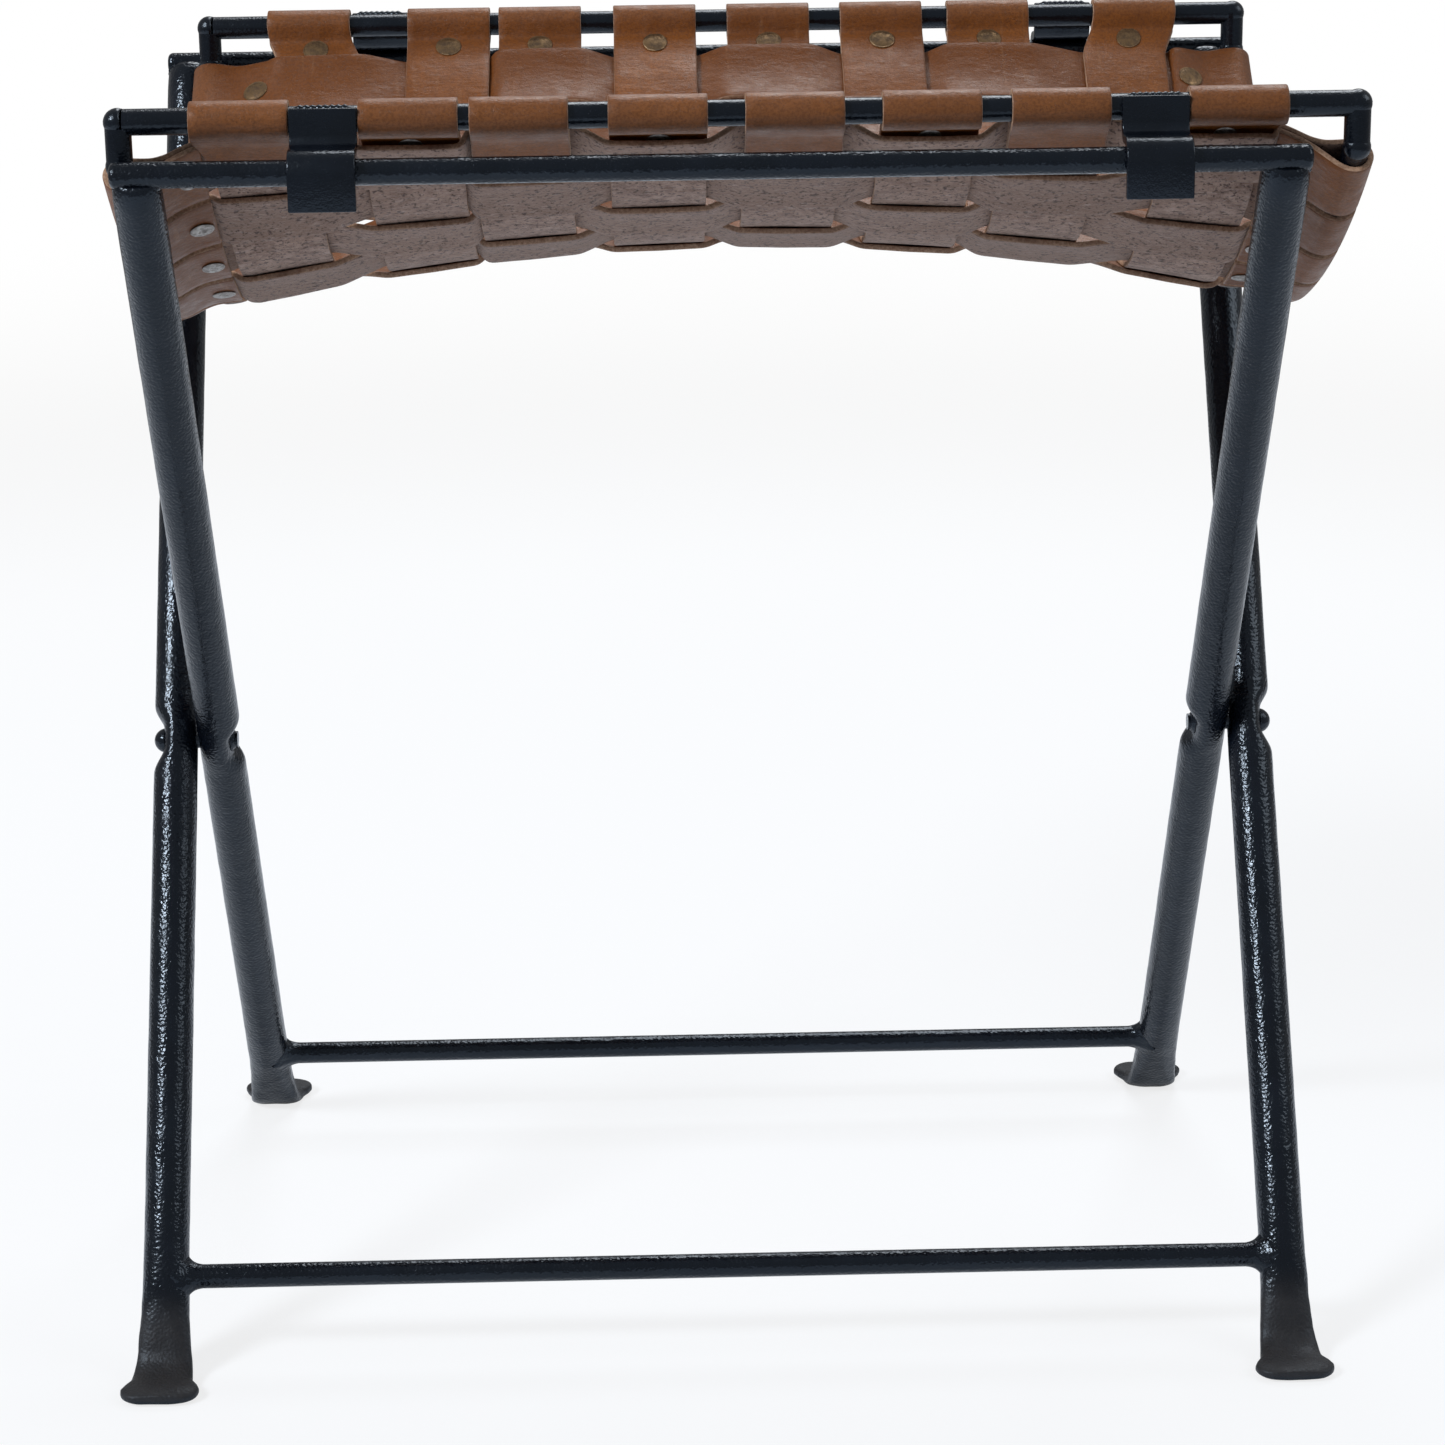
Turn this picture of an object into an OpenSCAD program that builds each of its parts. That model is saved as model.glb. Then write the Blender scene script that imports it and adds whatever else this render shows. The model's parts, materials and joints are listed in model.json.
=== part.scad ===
// Folding magazine rack: two pivoted tube frames carry a basket of woven leather straps.
// X runs along the rack, Y from front to back, Z up. The origin is on the floor, between the feet.

/* [Frame] */
// Height of the top rails above the floor, at their centre line
rail_height = 428; // [380:1:480]
// Height of the two leg pivots above the floor
pivot_height = 197.5; // [180:0.5:215]
// Distance from the centre plane to the legs of the inner frame
inner_leg_x = 181.7; // [160:0.1:220]
// Outside diameter of the leg tube
leg_d = 16; // [14:0.1:18]
// Wall of the leg tube
leg_wall = 1.5; // [1:0.1:2.5]
// Running gap between crossing legs
leg_gap = 0.3; // [0.2:0.05:1]
// Diameter of the rails, stretchers and basket rods
rod_d = 8.5; // [7:0.1:10]
// Height of the two stretchers above the floor
stretcher_height = 31; // [26:1:60]

/* [Feet] */
// Width of the flattened foot
foot_w = 26; // [20:0.5:32]
// Thickness of the flattened foot
foot_t = 5; // [3:0.5:7]
// Length of the sole on the floor
foot_l = 19; // [12:0.5:26]
// Distance along the leg over which the tube is flattened
foot_taper = 50; // [35:1:70]

/* [Pivots] */
// Diameter of the pivot rivet's shank
pivot_d = 6; // [4:0.1:8]
// Diameter of the pivot rivet's heads
pivot_head_d = 9; // [8:0.1:11]
// Height of the pivot rivet's domed head
pivot_head_h = 4; // [2.5:0.1:4.5]
// Depth of the dent in the tube beside each rivet head
dent_depth = 4; // [2:0.1:4.5]
// Length of that dent along the tube
dent_length = 24; // [18:0.5:32]

/* [Basket] */
// Distance from the basket's middle to its end bars
basket_half_l = 197; // [190:0.5:202]
// Distance from the basket's middle to its front and rear rods
basket_half_d = 131; // [126:0.5:131]
// Height of the basket's rods above the top rails
basket_rise = 15; // [13:0.5:20]
// How far along the rails the basket is pushed to the right
basket_shift = 9; // [-9:0.5:9]
// Straight drop at the four upper corners of the end bars
corner_drop = 14; // [10:0.5:20]
// Distance from each basket rod to the top rail outside it, which spreads the frame
hook_reach = 13.03; // [12.5:0.01:15]
// Distance from each end bar to the nearest strap that runs from front to back
end_room = 22.75; // [22:0.25:26]
// Width of a hook's flat bar
hook_w = 21.4; // [16:0.1:21.6]
// Thickness of a hook's flat bar
hook_t = 3; // [2:0.1:3.5]
// Gap between a hook and the rail it rests on
hook_gap = 0.3; // [0.2:0.05:0.6]
// How far a hook's lip reaches below its rail's centre
hook_lip = 11.5; // [8:0.5:16]

/* [Leather] */
// Thickness of every strap
strap_t = 2; // [1.6:0.1:2.2]
// Clear gap between neighbouring straps that run along the rack
row_gap = 1.06; // [0.8:0.01:3]
// Clear gap between two straps where they cross
weave_gap = 0.3; // [0.2:0.05:0.5]
// Clear gap between a strap's loop and the rod inside it
loop_gap = 0.2; // [0.1:0.05:0.3]
// Radius of the belly at the bottom of the basket
belly_r = 70; // [60:1:80]
// Radius of the long sides of the basket
side_r = 330; // [300:5:400]
// Diameter of a strap rivet's brass cap
cap_d = 9.5; // [7:0.1:9.5]
// Height of a strap rivet's cap
cap_h = 0.6; // [0.4:0.1:0.7]
// Diameter of a strap rivet's steel back
back_d = 8; // [6:0.1:8]
// Thickness of a strap rivet's back
back_h = 0.5; // [0.3:0.1:0.6]
// Diameter of a strap rivet's post
post_d = 3; // [2:0.1:4]

/* [Hidden] */

black = "#16181c";
tan_leather = "#9a5a2c";
brass = "#8d7444";
steel = "#8a8c8c";

$fn = 48;
eps = 0.01;
rod_r = rod_d / 2;
leg_r = leg_d / 2;
shank_r = pivot_d / 2;
shank_gap = 0.05;
outer_leg_x = inner_leg_x + leg_d + leg_gap;
rail_y = basket_half_d + hook_reach;
lean_run = rail_y / (rail_height - pivot_height);
leg_lean = atan(lean_run);
leg_up = (rail_height - pivot_height) / cos(leg_lean);
leg_down = pivot_height / cos(leg_lean);
stretcher_y = (pivot_height - stretcher_height) * lean_run;
heel_y = pivot_height * lean_run;

// Rail ends stop flush with the outside of the legs, welds are a little fatter than the rods.
rail_round = 2;
weld_r = rod_r + 2;
weld_l = 9;
corner_weld_r = rod_r + 0.35;

// A half-length of rail for a frame whose legs stand at leg_x
function rail_half(leg_x) = leg_x + leg_r;

// ---------------------------------------------------------------- frame parts

// Stands a shape drawn along the Z axis on the pivot and leans it; side is -1 for a foot in front.
module along_leg(leg_x, side) {
    translate([leg_x, 0, pivot_height])
        rotate([side * -(180 - leg_lean), 0, 0])
            rotate([0, 0, side > 0 ? 0 : 180])
                children();
}

// A round bar along X with a small round on both ends
module bar_x(half, y, z, r = rod_r, edge = rail_round) {
    translate([0, y, z])
        rotate([0, 90, 0])
            rotate_extrude()
                intersection() {
                    translate([0, -half]) square([r, 2 * half]);
                    union() {
                        translate([0, -half + edge]) square([r, 2 * (half - edge)]);
                        translate([0, -half]) square([r - edge, 2 * half]);
                        for (end = [-1, 1])
                            translate([r - edge, end * (half - edge)]) circle(edge);
                    }
                }
}

// The hollow that the pivot dent presses into a tube, on the side dent_side of it
dent_r = (dent_length * dent_length / 4 + dent_depth * dent_depth) / (2 * dent_depth);
seat_r = pivot_head_d / 2 + 0.3;
module dent(dent_side, grow = 0) {
    translate([dent_side * (leg_r - dent_depth + dent_r), 0, 0])
        rotate([90, 0, 0])
            cylinder(h = 3 * leg_d, r = dent_r + grow, center = true);
    translate([dent_side * (leg_r - dent_depth - grow), 0, 0])
        rotate([0, dent_side * 90, 0])
            cylinder(h = leg_d, r = seat_r + grow);
}

// Where the tube of a leg ends under its rail, where flattening starts, and the flattened end
tube_top = leg_up - rod_r - 0.5;
taper_start = leg_down - foot_taper;
knee = leg_down - 9;
knee_w = foot_w * 0.86;
knee_t = foot_t + 2;
toe_round = 6;
// The flattening starts a hair outside the tube, so that its flat sides enclose the round
taper_sides = 32;
taper_r = leg_r / cos(180 / taper_sides) + eps;

// The stretch over which the tube turns flat; side is the sign of Y that the toe points to
module taper(leg_x, side) {
    hull() {
        along_leg(leg_x, side)
            translate([0, 0, taper_start]) cylinder(h = 0.1, r = taper_r, $fn = taper_sides);
        along_leg(leg_x, side) translate([0, 0, knee]) flat_end(knee_w, knee_t);
    }
}
module foot(leg_x, side) {
    taper(leg_x, side);
    hull() {
        along_leg(leg_x, side) translate([0, 0, knee]) flat_end(knee_w, knee_t);
        sole(leg_x, side, 0, 0.35);
    }
    hull() {
        sole(leg_x, side, 0, 0.35);
        sole(leg_x, side, 0.6, 1);
    }
}

// A thin slice across the flattened tube
module flat_end(w, t) {
    translate([-w / 2 + t / 2, 0, 0]) cylinder(h = 0.1, r = t / 2, $fn = 24);
    translate([w / 2 - t / 2, 0, 0]) cylinder(h = 0.1, r = t / 2, $fn = 24);
}

// Part of the plate on the floor, from share a to share b of its length
module sole(leg_x, side, a, b) {
    y0 = heel_y + a * foot_l;
    y1 = heel_y + b * foot_l;
    w = b < 1 ? foot_w - 2 : foot_w;
    for (x = [-1, 1])
        translate([leg_x + x * (w / 2 - toe_round), side * (y1 - toe_round), 0])
            cylinder(h = foot_t, r = toe_round, $fn = 24);
    translate([leg_x - w / 2 + 1, side > 0 ? y0 : -y0 - 1, 0]) cube([w - 2, 1, foot_t]);
}

// One leg: a tube, dented at the pivot, drilled for the rivet and hammered flat at the foot
module leg(leg_x, side, dent_side) {
    color(black)
        difference() {
            union() {
                along_leg(leg_x, side)
                    translate([0, 0, -tube_top]) cylinder(h = tube_top + taper_start + 0.1, r = leg_r);
                foot(leg_x, side);
            }
            along_leg(leg_x, side) {
                mirror_x = side > 0 ? 1 : -1;
                dent(dent_side * mirror_x);
                difference() {
                    translate([0, 0, -tube_top - 1])
                        cylinder(h = tube_top + taper_start - 1, r = leg_r - leg_wall);
                    dent(dent_side * mirror_x, leg_wall);
                }
                rotate([0, 90, 0])
                    cylinder(h = 2 * leg_d, r = shank_r + shank_gap, center = true);
            }
        }
}

module rail(leg_x, side) {
    color(black) bar_x(rail_half(leg_x), side * rail_y, rail_height);
}

// The stretcher runs between its legs and is coped round them
module stretcher(leg_x, side) {
    color(black)
        difference() {
            bar_x(leg_x - 1, side * stretcher_y, stretcher_height, edge = 1);
            for (x = [-leg_x, leg_x]) leg_core(x, side);
        }
}
// The outside of a leg round its stretcher
module leg_core(leg_x, side) {
    along_leg(leg_x, side) cylinder(h = taper_start + 0.1, r = leg_r);
    taper(leg_x, side);
}

// Weld metal: a collar at each stretcher end and a cap that closes each leg under its rail
module frame_welds(leg_x, side) {
    color(black)
        for (x = [-1, 1]) {
            difference() {
                translate([x * (leg_x - leg_r - weld_l), side * stretcher_y, stretcher_height])
                    rotate([0, x * 90, 0])
                        cylinder(h = weld_l + 3, r1 = rod_r + 0.1, r2 = weld_r);
                translate([0, side * stretcher_y, stretcher_height])
                    rotate([0, 90, 0]) cylinder(h = 2 * leg_x, r = rod_r, center = true);
                leg_core(x * leg_x, side);
            }
            difference() {
                along_leg(x * leg_x, side)
                    translate([0, 0, -leg_up - 1.5])
                        cylinder(h = rod_r + 2, r1 = rod_r + 0.6, r2 = leg_r);
                translate([0, -side * rail_y, rail_height])
                    rotate([0, 90, 0]) cylinder(h = 3 * leg_x, r = rod_r, center = true);
            }
        }
}

// The rivet of one pivot: shank, domed head outside the outer leg, upset tail inside the inner leg
module pivot_rivet(side) {
    tail_x = inner_leg_x - leg_r + dent_depth;
    head_x = outer_leg_x + leg_r - dent_depth;
    tail_h = pivot_head_h * 0.6;
    color(black)
        translate([0, 0, pivot_height])
            rotate([0, side * 90, 0])
                rotate_extrude() {
                    translate([0, tail_x - tail_h]) square([shank_r, head_x - tail_x + tail_h + 1]);
                    translate([0, head_x]) rivet_dome(pivot_head_d / 2, pivot_head_h);
                    translate([0, tail_x]) mirror([0, 1]) rivet_dome(pivot_head_d / 2, tail_h);
                }
}

// Half outline of a domed head of radius r and height h, standing on the line y = 0
module rivet_dome(r, h) {
    ball_r = (r * r + h * h) / (2 * h);
    intersection() {
        translate([0, h - ball_r]) circle(ball_r, $fn = 96);
        square([r, h]);
    }
}

// ---------------------------------------------------------------- shape of the woven sling

// Turn of the belly arc at distance x from the basket's middle, in degrees
belly_turn_mid = 17;
belly_turn_side = 24.5;
belly_turn_end = 19.5;
end_zone = 31;
last_strap_x = basket_half_l - end_zone;
function share(x) = let (t = max(0, min(1, (abs(x) - last_strap_x) / (basket_half_l - last_strap_x))))
    t * t * (3 - 2 * t);
function belly_turn(x) = let (q = min(1, abs(x) / last_strap_x))
    (belly_turn_mid + (belly_turn_side - belly_turn_mid) * q * q) * (1 - share(x))
    + belly_turn_end * share(x);

// Slope where the sling meets its rod, arc length up to there, and the rise from bottom to rod
function end_turn(x) = asin((basket_half_d - belly_r * sin(belly_turn(x))) / side_r + sin(belly_turn(x)));
function rod_reach(x) = (belly_r * belly_turn(x) + side_r * (end_turn(x) - belly_turn(x))) * PI / 180;
function sling_rise(x) = belly_r * (1 - cos(belly_turn(x)))
    + side_r * (cos(belly_turn(x)) - cos(end_turn(x)));
rod_height = rail_height + basket_rise;
function rim_height(x) = rod_height - corner_drop * share(x);

// Slope of the sling at arc length s from its lowest line
function turn_at(x, s) = let (belly_s = belly_r * belly_turn(x) * PI / 180, a = abs(s))
    a < belly_s ? a / belly_r * 180 / PI : belly_turn(x) + (a - belly_s) / side_r * 180 / PI;

// Point of the sling's middle surface, moved by n towards the inside of the basket
function sling(x, s, n = 0) =
    let (turn = turn_at(x, s), low = min(turn, belly_turn(x)), way = s < 0 ? -1 : 1)
    let (y = belly_r * sin(low) + side_r * (sin(turn) - sin(low)))
    let (z = rim_height(x) - sling_rise(x) + belly_r * (1 - cos(low)) + side_r * (cos(low) - cos(turn)))
    [x + basket_shift, way * (y - n * sin(turn)), z + n * cos(turn)];

// ---------------------------------------------------------------- layout of the weave

// The eight cross straps lie along the rods with these gaps between them. The hooks hold in the widest two.
cross_gaps = [22, 3.5, 12.5, 12, 12, 9.5, 25];
function sum_to(list, n) = n == 0 ? 0 : list[n - 1] + sum_to(list, n - 1);
cross_w = (2 * (basket_half_l - end_room) - sum_to(cross_gaps, 7)) / 8;
cross_x = [for (k = [0:7]) end_room - basket_half_l + cross_w * (k + 0.5) + sum_to(cross_gaps, k)];
hook_x = -(cross_x[0] + cross_x[1]) / 2;

// The outermost two are drawn inwards by bow where they are more than bow_start from their rod
bow = 8;
bow_start = 15;
bow_end = 2;
function outermost(k) = k == 1 || k == 8;
function cross_at(k, s) = let (x = cross_x[k - 1], from_rod = rod_reach(x) - abs(s))
    let (t = max(0, min(1, (bow_start - from_rod) / (bow_start - bow_end))))
    x - (outermost(k) ? sign(x) * bow * (1 - t * t * (3 - 2 * t)) : 0);

// Rows run from -4 in front to 4 behind. The top edges keep these distances from the rods.
rows = [-4:4];
front_edge = 10;
rear_edge = 17.4;
end_edge = 5;
long_w = (2 * rod_reach(0) - front_edge - rear_edge - 8 * row_gap) / 9;
function row_pitch(x) = let (rim = rod_reach(x), e = share(x))
    (2 * rim - (front_edge + rear_edge) * (1 - e) - 2 * end_edge * e - long_w) / 8;
function row_at(r, x) = let (rim = rod_reach(x), e = share(x))
    rim - rear_edge * (1 - e) - end_edge * e - long_w / 2 - (4 - r) * row_pitch(x);

// Crossing straps swing this far either side of the middle surface, and lie this far apart
swing = (strap_t + weave_gap) / 2;
apart = strap_t + weave_gap;
// 1 where the long strap of row r lies inside cross strap k, and -1 where it lies outside
function inside(r, k) = (r + k + 10) % 2 == 1 ? 1 : -1;

// The straps' loops: radius of the middle of the leather, and how far from the rod a loop is closed
loop_r = rod_r + loop_gap + strap_t / 2;
ply = strap_t + 0.1;
rise_steps = [[2.5, 0.88], [5, 0.5], [7.8, 0]];
end_clamp_u = 14.5;
end_rise_steps = [[2.5, 0.93], [5, 0.75], [10, 0.25], [end_clamp_u, 0]];
loop_angles = [for (a = [0:22.5:180]) a];

// Distance from the rod to the rivet and to the flap's end: tight loops, and long flaps in front
rivet_u = 12.5;
flap_u = 17.2;
low_rivet_u = 23;
low_flap_u = 28.5;
end_rivet_u = 19.5;
end_flap_u = 24.7;

function front_low(k, side) = side < 0 && inside(-4, k) > 0;
function loop_rivet_u(k, side) = front_low(k, side) ? low_rivet_u : rivet_u;
// Height of the main ply above the middle surface beside the rivet
low_dip = 1.5;
low_clamp_u = 18;
function ply_n(k, side) = front_low(k, side) ? -low_dip : side < 0 ? ply / 2 : 0;

// ---------------------------------------------------------------- straps

// Skin of a swept strip: rings of points, each ring a closed loop across the strip, first along its one
// face and then back along the other. Both faces are split along the same diagonals.
module skin(rings) {
    m = len(rings[0]);
    n = len(rings);
    polyhedron(
        points = [for (ring = rings) each ring],
        faces = concat(
            [[for (j = [0:m - 1]) j]],
            [for (i = [0:n - 2], j = [0:m - 1], half = [0, 1])
                let (a = i * m + j, b = i * m + (j + 1) % m, c = b + m, d = a + m)
                j < m / 2 ? (half == 0 ? [a, c, b] : [a, d, c]) : (half == 0 ? [a, d, b] : [b, d, c])],
            [[for (j = [m - 1:-1:0]) (n - 1) * m + j]]),
        convexity = 8);
}

// A cross strap's stations run from its front flap to its rear flap: [row, q, n, turn]. In the weave row is
// -4 to 4 and q counts half pitches from its middle. At the ends row is -RIM or RIM and q is the distance
// from the rod. n is the height of the middle of the leather, and turn goes round the rod, in degrees.
RIM = 9;
function cross_s(p, x) = abs(p[0]) == RIM
    ? sign(p[0]) * (rod_reach(x) - p[1])
    : row_at(p[0], x) + p[1] * row_pitch(x) / 2;
function at_rim(side, list) = [for (p = list) [side * RIM, p[0], p[1], 0]];

low_main = [[low_flap_u, -low_dip], [low_clamp_u, -low_dip], [12, -0.4], [7.8, 0.6], [5, 2.9], [2.5, 4.75]];
low_under = [[2.5, -5], [5, -4.4], [7.8, -3.4], [12, -3.2], [low_clamp_u, -low_dip - ply],
    [low_flap_u, -low_dip - ply]];
function cross_main_end(k, side) = let (n0 = ply_n(k, side))
    at_rim(side, front_low(k, side) ? low_main
        : concat([[flap_u, n0]], [for (i = [2:-1:0])
            [rise_steps[i][0], n0 + (loop_r - n0) * rise_steps[i][1]]]));
function cross_flap(k, side) = let (n0 = ply_n(k, side) - ply)
    at_rim(side, front_low(k, side) ? low_under
        : concat([for (p = rise_steps) [p[0], n0 - (loop_r + n0) * p[1]]], [[flap_u, n0]]));
function cross_loop(side) = [for (a = loop_angles) [side * RIM, 0, loop_r, a]];
function reversed(list) = [for (i = [len(list) - 1:-1:0]) list[i]];

// The woven stretch: over and under, with a station every quarter pitch
function cross_weave(k) =
    [for (r = rows, q = [-1:0.5:0.5])
        if (!(r == -4 && (q < 0 || front_low(k, -1))))
            [r, q, -inside(r, k) * swing * (1 - abs(q)), 0]];

function cross_stations(k) = concat(
    reversed(cross_flap(k, -1)), reversed(cross_loop(-1)), reversed(cross_main_end(k, -1)),
    cross_weave(k),
    cross_main_end(k, 1), cross_loop(1), cross_flap(k, 1));

// Corner of a cross strap at station p; h is half the thickness, with its sign, and w the offset in X.
// Beside a rod the strap is straight across its width, as the rod is. In the weave it follows the sling.
function cross_corner(k, p, h, w) =
    let (mid = cross_x[k - 1], out = cross_at(k, cross_s(p, mid)) - mid + w, at_rod = abs(p[0]) == RIM)
    let (x = at_rod ? mid : mid + out, s = cross_s(p, x), reach = p[2] + h)
    let (along = reach * sin(p[3]), turn = turn_at(x, s), side = s < 0 ? -1 : 1)
    sling(x, s, reach * cos(p[3])) + along * [0, side * cos(turn), sin(turn)] + [at_rod ? out : 0, 0, 0];

module cross_strap(k) {
    stations = cross_stations(k);
    last = len(stations) - 1;
    front_flap = len(cross_flap(k, -1));
    rear_flap = last - len(cross_flap(k, 1));
    color(tan_leather)
        difference() {
            skin([for (i = [0:last])
                let (h = (i < front_flap || i > rear_flap ? -1 : 1) * strap_t / 2)
                [for (c = [[1, -1], [1, 1], [-1, 1], [-1, -1]])
                    cross_corner(k, stations[i], c[0] * h, c[1] * cross_w / 2)]]);
            for (side = [-1, 1])
                at_cross_rivet(k, side) cylinder(h = 12, r = post_d / 2 + shank_gap, center = true);
        }
}

// Long straps. Stations: [x, [n at five points from the front edge to the rear edge], turn round the bar]
COLUMNS = 4;
edge_room = 0.6;
bow_room = 2.1;
// Extra room in the front row, where the strap rides over flaps and rivet heads, and at the rear top edge
front_over = [0.7, 0.6, 0.45, 0.2, 0];
front_under = [-2.2, -2.2, -1.1, -0.3, 0];
rear_curl = [0, 0, 0.1, 0.35, 0.6];
no_lift = [0, 0, 0, 0, 0];
function row_lift(r, k) = let (way = inside(r, k))
    r == -4 ? (way > 0 ? front_over : front_under) : r == 4 ? way * rear_curl : no_lift;
function long_n(r, k) = let (way = inside(r, k), lift = row_lift(r, k))
    [for (j = [0:COLUMNS]) way * (apart - swing * (1 - abs(2 * j / COLUMNS - 1))) + lift[j]];
function outer_room(r, k, way) = abs(r) == 4 && outermost(k) && way * cross_x[k - 1] > 0 ? bow_room : 0;
function long_weave(r) = [for (k = [1:8], way = [-1, 1])
    [cross_at(k, row_at(r, cross_x[k - 1])) + way * (cross_w / 2 + edge_room + outer_room(r, k, way)),
        long_n(r, k), 0]];
function flat_n(n) = [for (j = [0:COLUMNS]) n];
function long_main_end(side) =
    [for (p = concat([[end_flap_u, 0]], [for (i = [3:-1:0]) end_rise_steps[i]]))
        [side * (basket_half_l - p[0]), flat_n(ply / 2 + (loop_r - ply / 2) * p[1]), 0]];
function long_loop(side) = [for (a = loop_angles) [side * basket_half_l, flat_n(loop_r), a]];
function long_flap(side) =
    [for (p = concat(end_rise_steps, [[end_flap_u, 0]]))
        [side * (basket_half_l - p[0]), flat_n(-ply / 2 - (loop_r - ply / 2) * p[1]), 0]];
function long_stations(r) = concat(
    reversed(long_flap(-1)), reversed(long_loop(-1)), reversed(long_main_end(-1)),
    long_weave(r),
    long_main_end(1), long_loop(1), long_flap(1));

function long_corner(r, p, h, j) =
    let (x = p[0], s = row_at(r, x) + (j / COLUMNS - 0.5) * long_w, side = x < 0 ? -1 : 1)
    p[2] == 0 ? sling(x, s, p[1][j] + h)
    : let (reach = p[1][j] + h)
        sling(x, s, reach * cos(p[2])) + [side * reach * sin(p[2]), 0, 0];

module long_strap(r) {
    stations = long_stations(r);
    last = len(stations) - 1;
    flap = len(long_flap(1));
    color(tan_leather)
        difference() {
            skin([for (i = [0:last])
                let (h = (i < flap || i > last - flap ? -1 : 1) * strap_t / 2)
                concat([for (j = [COLUMNS:-1:0]) long_corner(r, stations[i], h, j)],
                    [for (j = [0:COLUMNS]) long_corner(r, stations[i], -h, j)])]);
            for (side = [-1, 1])
                at_long_rivet(r, side) cylinder(h = 5 * strap_t, r = post_d / 2 + shank_gap, center = true);
        }
}

// Strap rivets stand on the middle between their two plies, with Z towards the inside of the basket
module at_cross_rivet(k, side) {
    x = cross_x[k - 1];
    s = side * (rod_reach(x) - loop_rivet_u(k, side));
    translate(sling(x, s, ply_n(k, side) - ply / 2) + [cross_at(k, s) - x, 0, 0])
        rotate([side * turn_at(x, s), 0, 0]) children();
}
// The end rivets stand square on the strap, which also slopes along its length there
function unit(v) = v / norm(v);
function end_point(r, side, u, w = 0) = let (x = side * (basket_half_l - u)) sling(x, row_at(r, x) + w);
function end_axes(r, side) =
    let (u0 = end_flap_u, u1 = end_clamp_u, w = cap_d / 2)
    let (along = unit(side * (end_point(r, side, u1) - end_point(r, side, u0))))
    let (z = unit(cross(along, end_point(r, side, end_rivet_u, w) - end_point(r, side, end_rivet_u, -w))))
    [along, cross(z, along), z];
// Middle of the strap between the two stations beside the rivet
function end_seat(r, side) =
    let (u0 = end_flap_u, u1 = end_clamp_u, t = (u0 - end_rivet_u) / (u0 - u1))
    end_point(r, side, u0) * (1 - t) + end_point(r, side, u1) * t;
module at_long_rivet(r, side) {
    a = end_axes(r, side);
    c = end_seat(r, side);
    multmatrix([[a[0][0], a[1][0], a[2][0], c[0]], [a[0][1], a[1][1], a[2][1], c[1]],
            [a[0][2], a[1][2], a[2][2], c[2]], [0, 0, 0, 1]]) children();
}
// How far a strap that is hollow across its width rises above its middle at the rim of a cap
function end_hollow(r, side) =
    let (z = end_axes(r, side)[2], c = end_point(r, side, end_rivet_u), w = long_w / 4)
    max(0, (z * (end_point(r, side, end_rivet_u, w) + end_point(r, side, end_rivet_u, -w) - 2 * c)) / 2
        * cap_d / 2 / w);
seat_room = 0.12;
module cap(lift = 0) {
    r = cap_d / 2;
    translate([0, 0, ply - 0.05 + seat_room + lift])
        rotate_extrude()
            polygon([[0, 0], [r, 0], [r, cap_h * 0.4], [r * 0.9, cap_h * 0.8], [r * 0.6, cap_h], [0, cap_h]]);
}
module back(lift = 0) {
    translate([0, 0, -ply + 0.05 - seat_room - back_h]) cylinder(h = back_h, r = back_d / 2);
    translate([0, 0, -ply + 0.05 - seat_room - back_h / 2])
        cylinder(h = 2 * (ply - 0.05 + seat_room) + back_h / 2 + lift, r = post_d / 2);
}
module cross_caps(side) { color(brass) for (k = [1:8]) at_cross_rivet(k, side) cap(); }
module cross_backs(side) { color(steel) for (k = [1:8]) at_cross_rivet(k, side) back(); }
module long_caps(side) { color(brass) for (r = rows) at_long_rivet(r, side) cap(end_hollow(r, side)); }
module long_backs(side) { color(steel) for (r = rows) at_long_rivet(r, side) back(end_hollow(r, side)); }

// ---------------------------------------------------------------- basket frame

module basket_rod(side) {
    color(black)
        translate([basket_shift, 0, 0]) {
            bar_x(basket_half_l, side * basket_half_d, rod_height, edge = 1);
            for (x = [-1, 1])
                translate([x * basket_half_l, side * basket_half_d, rod_height])
                    sphere(corner_weld_r, $fn = 32);
        }
}

// A bent stretch of round bar in the YZ plane: arc of radius r from angle a to b round a centre
module bar_arc(r, a, b) {
    rotate([0, 0, a])
        rotate_extrude(angle = b - a, $fn = 192)
            translate([r, 0]) circle(rod_r, $fn = 48);
}

// An end bar follows the sling from rod to rod, with a short straight drop at each corner
module end_bar(side) {
    x = side * basket_half_l;
    belly = belly_turn(x);
    end = end_turn(x);
    low = rim_height(x) - sling_rise(x);
    color(black)
        difference() {
            translate([x + basket_shift, 0, 0]) {
                translate([0, 0, low + belly_r])
                    rotate([90, 0, 90]) bar_arc(belly_r, -90 - belly, -90 + belly);
                for (way = [-1, 1]) {
                    translate([0, -way * (side_r - belly_r) * sin(belly),
                            low + belly_r + (side_r - belly_r) * cos(belly)])
                        rotate([90, 0, 90])
                            bar_arc(side_r, way > 0 ? -90 + belly : -90 - end,
                                way > 0 ? -90 + end : -90 - belly);
                    translate([0, way * belly_r * sin(belly), low + belly_r * (1 - cos(belly))])
                        sphere(rod_r + 0.05);
                    translate([0, way * basket_half_d, rim_height(x)])
                        cylinder(h = corner_drop, r = rod_r);
                    translate([0, way * basket_half_d, rim_height(x)])
                        sphere(corner_weld_r, $fn = 32);
                }
            }
            for (way = [-1, 1]) basket_rod(way);
        }
}

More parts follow.
